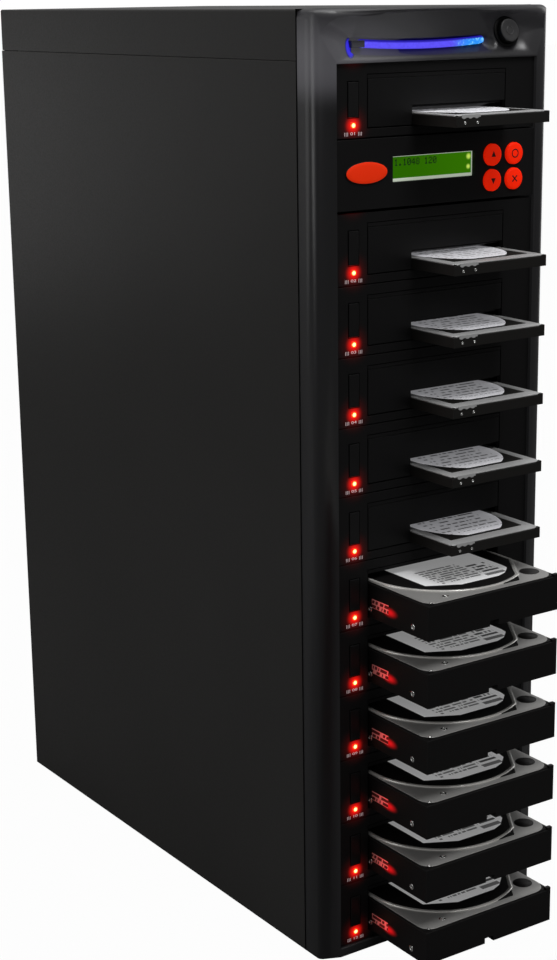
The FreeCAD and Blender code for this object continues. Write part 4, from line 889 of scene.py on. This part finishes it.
green_glass = lens("green_glass", (0.004, 0.02, 0.0005), 0.8, 0.0)
tree = green_glass.node_tree
x, y, z = plot(tree)
dot_step, dot_high = 0.00053, 0.00056
cells = [calc(tree, "FRACT", calc(tree, "DIVIDE", place, step))
         for place, step in ((x, dot_step), (z, dot_high))]
dots = calc(tree, "MAXIMUM", *(calc(tree, "GREATER_THAN", cell, 0.86) for cell in cells))
diode = calc(tree, "MAXIMUM",
             near_point(tree, x, z, win_right - 0.0024, win_top - 0.0033, 1.0, 0.0004, 0.0024),
             near_point(tree, x, z, win_right - 0.0026, win_foot + 0.0055, 1.0, 0.0003, 0.002))
ground = blend(tree, span(tree, x, win_left, win_right), (0.022, 0.125, 0.0002), (0.032, 0.165, 0.0004))
ground = blend(tree, mult(tree, dots, 0.2), ground, (0.06, 0.2, 0.01))
glows(green_glass, blend(tree, diode, ground, (0.62, 0.85, 0.12)), 0.88)
dress(["display_module"], green_glass)

# Figures made of separate dots, five across and seven high, with most of the first row in use.
shapes = {"1": "00100 01100 00100 00100 00100 00100 01110",
          "2": "01110 10001 00001 00110 01000 10000 11111",
          "0": "01110 10001 10011 10101 11001 10001 01110",
          ".": "00000 00000 00000 00000 00000 01100 01100",
          "4": "00010 00110 01010 10010 11111 00010 00010",
          "8": "01110 10001 10001 01110 10001 10001 01110",
          " ": "00000 00000 00000 00000 00000 00000 00000"}
shown_figures = "1.1048 120"
dots_across, dots_up = len(shown_figures) * 6, 7
grid_low = Vector((win_left + 0.0033, glass_y - 0.00006, win_top - 0.0019))
matrix = begin("display_figures", bpy.ops.mesh.primitive_grid_add, x_subdivisions=dots_across,
               y_subdivisions=dots_up, size=1, rotation=upright,
               location=(grid_low.x + dots_across / 2 * dot_step, grid_low.y,
                         grid_low.z - dots_up / 2 * dot_high))
bpy.ops.transform.resize(value=(dots_across * dot_step, 1, dots_up * dot_high))


def unlit(face):
    """True for a dot that its figure leaves out."""
    spot = face.calc_center_median()
    column, row = int((spot.x - grid_low.x) / dot_step), int((grid_low.z - spot.z) / dot_high)
    figure, within_figure = shown_figures[column // 6], column % 6
    return within_figure == 5 or shapes[figure].split()[row][within_figure] == "0"


choose(matrix, "FACE", unlit)
bpy.ops.mesh.delete(type="FACE")
bpy.ops.mesh.select_all(action="SELECT")
pull((0, 0.00008, 0))
finish(matrix, coated("display_ink", (0.004, 0.035, 0.012), rough=0.4, grain=4000, peel=0.0), "case")

frame_white = coated("frame_white", (0.42, 0.45, 0.4), rough=0.4, grain=2200, drift=0.06, peel=0.05)
# Painted light: the white frame gives off a pale glow of its own.
glows(frame_white, (0.75, 0.85, 0.68, 1), 0.42)
inner_frame = sheet("display_frame", (win_right - win_left, 1, win_top - win_foot),
                    ((win_left + win_right) / 2, glass_y - 0.0001, (win_foot + win_top) / 2), upright)
bpy.ops.mesh.inset(thickness=0.0006, depth=0)
bpy.ops.mesh.delete(type="ONLY_FACE")
choose(inner_frame, "VERT", lambda corner: win_foot + 0.0001 < corner.co.z < (win_foot + win_top) / 2)
bpy.ops.transform.translate(value=(0, 0, 0.0012))
bpy.ops.mesh.select_all(action="SELECT")
pull((0, -0.0004, 0))
finish(inner_frame, frame_white, "case", edge=0.0001, steps=1)

# Soft orange push buttons with a domed rim. Two carry arrows, one a ring and one a cross.
orange = coated("orange_button", (0.8, 0.014, 0.0008), rough=0.5, rough_span=0.05, drift=0.05,
                grain=1800, peel=0.06, gloss=0.12, fold=0.0006)
# Painted light: the orange gives off a glow of its own, which makes it bright.
glows(orange, (0.85, 0.016, 0.0005, 1), 0.5)
button_names = ["button_up", "button_enter", "button_down", "button_escape"]
dress(button_names, orange)
mark_dark = coated("mark_dark", (0.05, 0.003, 0.002), rough=0.5, grain=4000, peel=0.0, drift=0.1)
for name in button_names:
    low_corner, high_corner = (Vector(corner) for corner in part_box(name))
    middle = (low_corner + high_corner) / 2
    radius = (high_corner.x - low_corner.x) / 2
    cap = disc(name + "_cap", 56, radius - 0.0001, (middle.x, low_corner.y - 0.00004, middle.z),
               upright)
    pull((0, -0.0002, 0))
    steps_in((0.0005, 0.0003), (0.0007, 0.00012))
    finish(cap, orange, name)
    spot = Vector((middle.x, low_corner.y - 0.0007, middle.z))
    if name in ("button_up", "button_down"):
        turn = 0 if name == "button_up" else math.radians(180)
        sign = disc(name + "_mark", 3, 0.0024, spot, (upright[0], turn, 0))
        bpy.ops.transform.resize(value=(0.85, 1, 1))
        pull((0, 0.0002, 0))
    elif name == "button_enter":
        sign = disc(name + "_mark", 40, 0.0027, spot, upright)
        bpy.ops.mesh.inset(thickness=0.0007, depth=0)
        bpy.ops.mesh.delete(type="ONLY_FACE")
        bpy.ops.mesh.select_all(action="SELECT")
        pull((0, 0.0002, 0))
    else:
        sign = sheet(name + "_mark", (0.0008, 1, 0.0052), spot, upright)
        pull((0, 0.0002, 0))
        bpy.ops.mesh.select_all(action="SELECT")
        bpy.ops.transform.rotate(value=math.radians(45), orient_axis="Y", center_override=spot)
        bpy.ops.mesh.duplicate()
        bpy.ops.transform.rotate(value=math.radians(90), orient_axis="Y", center_override=spot)
    finish(sign, mark_dark, name)

# A plain orange oval badge, domed and bare, pressed into its shallow seat on the panel.
badge_paint = coated("badge_paint", (0.75, 0.025, 0.0015), rough=0.4, drift=0.05, grain=1500, peel=0.03,
                     gloss=0.2)
# Painted light: the badge gives off an orange glow of its own.
glows(badge_paint, (0.8, 0.03, 0.002, 1), 0.28)
panel_low, panel_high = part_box("control_panel")
badge = disc("plain_badge", 72, 1, (-0.053, panel_low[1] - 0.00005, panel_high[2] - 0.0191), upright)
bpy.ops.transform.resize(value=(0.0146, 1, 0.0061))
pull((0, -0.00025, 0))
steps_in((0.0006, 0.0002), (0.0016, 0.00012))
finish(badge, badge_paint, "case")

# ---------------------------------------------------------------- rear
# The power supply is a bare galvanised box screwed to the back sheet, with a mains inlet and a rocker
# switch. Below it a black moulded fan sits behind the bars stamped from the sheet.
supply_steel = coated("supply_steel", (0.32, 0.325, 0.33), rough=0.34, rough_span=0.12, metal=0.85,
                      drift=0.18, grain=1600, peel=0.06, gloss=0.5, cloud=90, fold=0.0006)
dress(["power_supply"], supply_steel)
dress(["power_switch"],
      coated("rocker_black", (0.01, 0.01, 0.01), rough=0.3, grain=2500, peel=0.05, gloss=0.5))
dress(["fan_frame", "fan_rotor"], coated("fan_black", (0.013, 0.013, 0.0135), rough=0.42, grain=2200,
                                         peel=0.1))

inlet_black = coated("inlet_black", (0.009, 0.009, 0.009), rough=0.4, grain=2400, peel=0.06, gloss=0.35)
plated_pin = coated("plated_pin", (0.6, 0.58, 0.5), rough=0.25, metal=1.0, drift=0.08, grain=4000,
                    peel=0.03)
inlet = next(slot for slot in frame["record"]["physics"]["openings"]
             if slot["name"] == "mains_inlet_recess")
inlet_low, inlet_high = (Vector(corner) for corner in inlet["box_m"])
inlet_middle = (inlet_low + inlet_high) / 2
supply_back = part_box("power_supply")[1][1]
inward = (math.radians(-90), 0, 0)
liner = sheet("inlet_liner",
              (inlet_high.x - inlet_low.x - 0.0002, 1, inlet_high.z - inlet_low.z - 0.0002),
              (inlet_middle.x, supply_back + 0.0004, inlet_middle.z), inward)
steps_in((0.0013, 0))
pull((0, -0.0125, 0))
liner_shell = liner.modifiers.new("wall", "SOLIDIFY")
liner_shell.thickness, liner_shell.offset = 0.0003, 0
finish(liner, inlet_black, "case", edge=0.0002)
bpy.context.view_layer.objects.active = liner
bpy.ops.object.modifier_apply(modifier="wall")
for number, (across, up) in enumerate(((-0.007, -0.0022), (0.0, 0.0028), (0.007, -0.0022))):
    pin = sheet(f"inlet_pin_{number}", (0.002, 0.009, 0.004),
                (inlet_middle.x + across, supply_back - 0.0075, inlet_middle.z + up),
                add=bpy.ops.mesh.primitive_cube_add)
    choose(pin, "FACE", lambda face: face.normal.y > 0.9)
    steps_in((0.0005, 0.0005))
    finish(pin, plated_pin, "case", edge=0.0002)

# Pan-head screws hold the power supply and the fan to the back sheet.
zinc_screw = coated("zinc_screw", (0.42, 0.42, 0.43), rough=0.3, metal=1.0, drift=0.1, grain=3000,
                    peel=0.05)
supply_low, supply_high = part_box("power_supply")
fan_low, fan_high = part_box("fan_frame")
back_y = fan_high[1] + 0.001
supply_holes, fan_holes = 0.0715, 0.04125
spots = [(sign * supply_holes, level) for sign in (-1, 1)
         for level in (supply_low[2] + 0.006, supply_high[2] - 0.006)]
spots += [(sign * fan_holes, (fan_low[2] + fan_high[2]) / 2 + up * fan_holes)
          for sign in (-1, 1) for up in (-1, 1)]
for number, (across, level) in enumerate(spots):
    middle = (across, back_y, level)
    screw = begin(f"rear_screw_{number}", bpy.ops.mesh.primitive_uv_sphere_add, segments=24,
                  ring_count=12,
                  radius=0.0036, location=middle, rotation=inward)
    bpy.ops.mesh.bisect(plane_co=(0, back_y, 0), plane_no=(0, -1, 0), clear_outer=True, use_fill=True)
    bpy.ops.mesh.select_all(action="SELECT")
    bpy.ops.transform.resize(value=(1, 0.55, 1), center_override=middle)
    bpy.ops.mesh.bisect(plane_co=(0, back_y + 0.0017, 0), plane_no=(0, 1, 0), clear_outer=True,
                        use_fill=True)
    steps_in((0.0004, -0.0003))
    finish(screw, zinc_screw, "case")

# Knurled caps on the four thumbscrews, which slide back with their side panels.
thumb_black = coated("thumb_black", (0.02, 0.02, 0.02), rough=0.35, grain=2500, peel=0.08, gloss=0.5,
                     fold=0.0003, wear=0.6)
half_case = 0.087
for side, sign in (("left", -1), ("right", 1)):
    panel_low, panel_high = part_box(side + "_panel")
    head_middle = sign * (half_case - 0.0075)
    for number, level in enumerate((panel_low[2] + 0.06, panel_high[2] - 0.0597)):
        knob = disc(f"{side}_thumb_{number}", 48, 0.0048, (head_middle, panel_high[1] - 0.0038, level),
                    inward)
        pull((0, 0.0036, 0))
        steps_in((0.0009, 0.0003), (0.0004, -0.0004))

        def is_groove(face):
            """True for each groove of the knurl round the head."""
            spot = face.calc_center_median()
            turn = math.degrees(math.atan2(spot.z - level, spot.x - head_middle)) % 15
            return len(face.verts) == 4 and abs(face.normal.y) < 0.1 and turn < 7.5

        choose(knob, "FACE", is_groove)
        bpy.ops.mesh.inset(thickness=0.0001, depth=-0.00025, use_individual=True)
        finish(knob, thumb_black, side + "_panel")
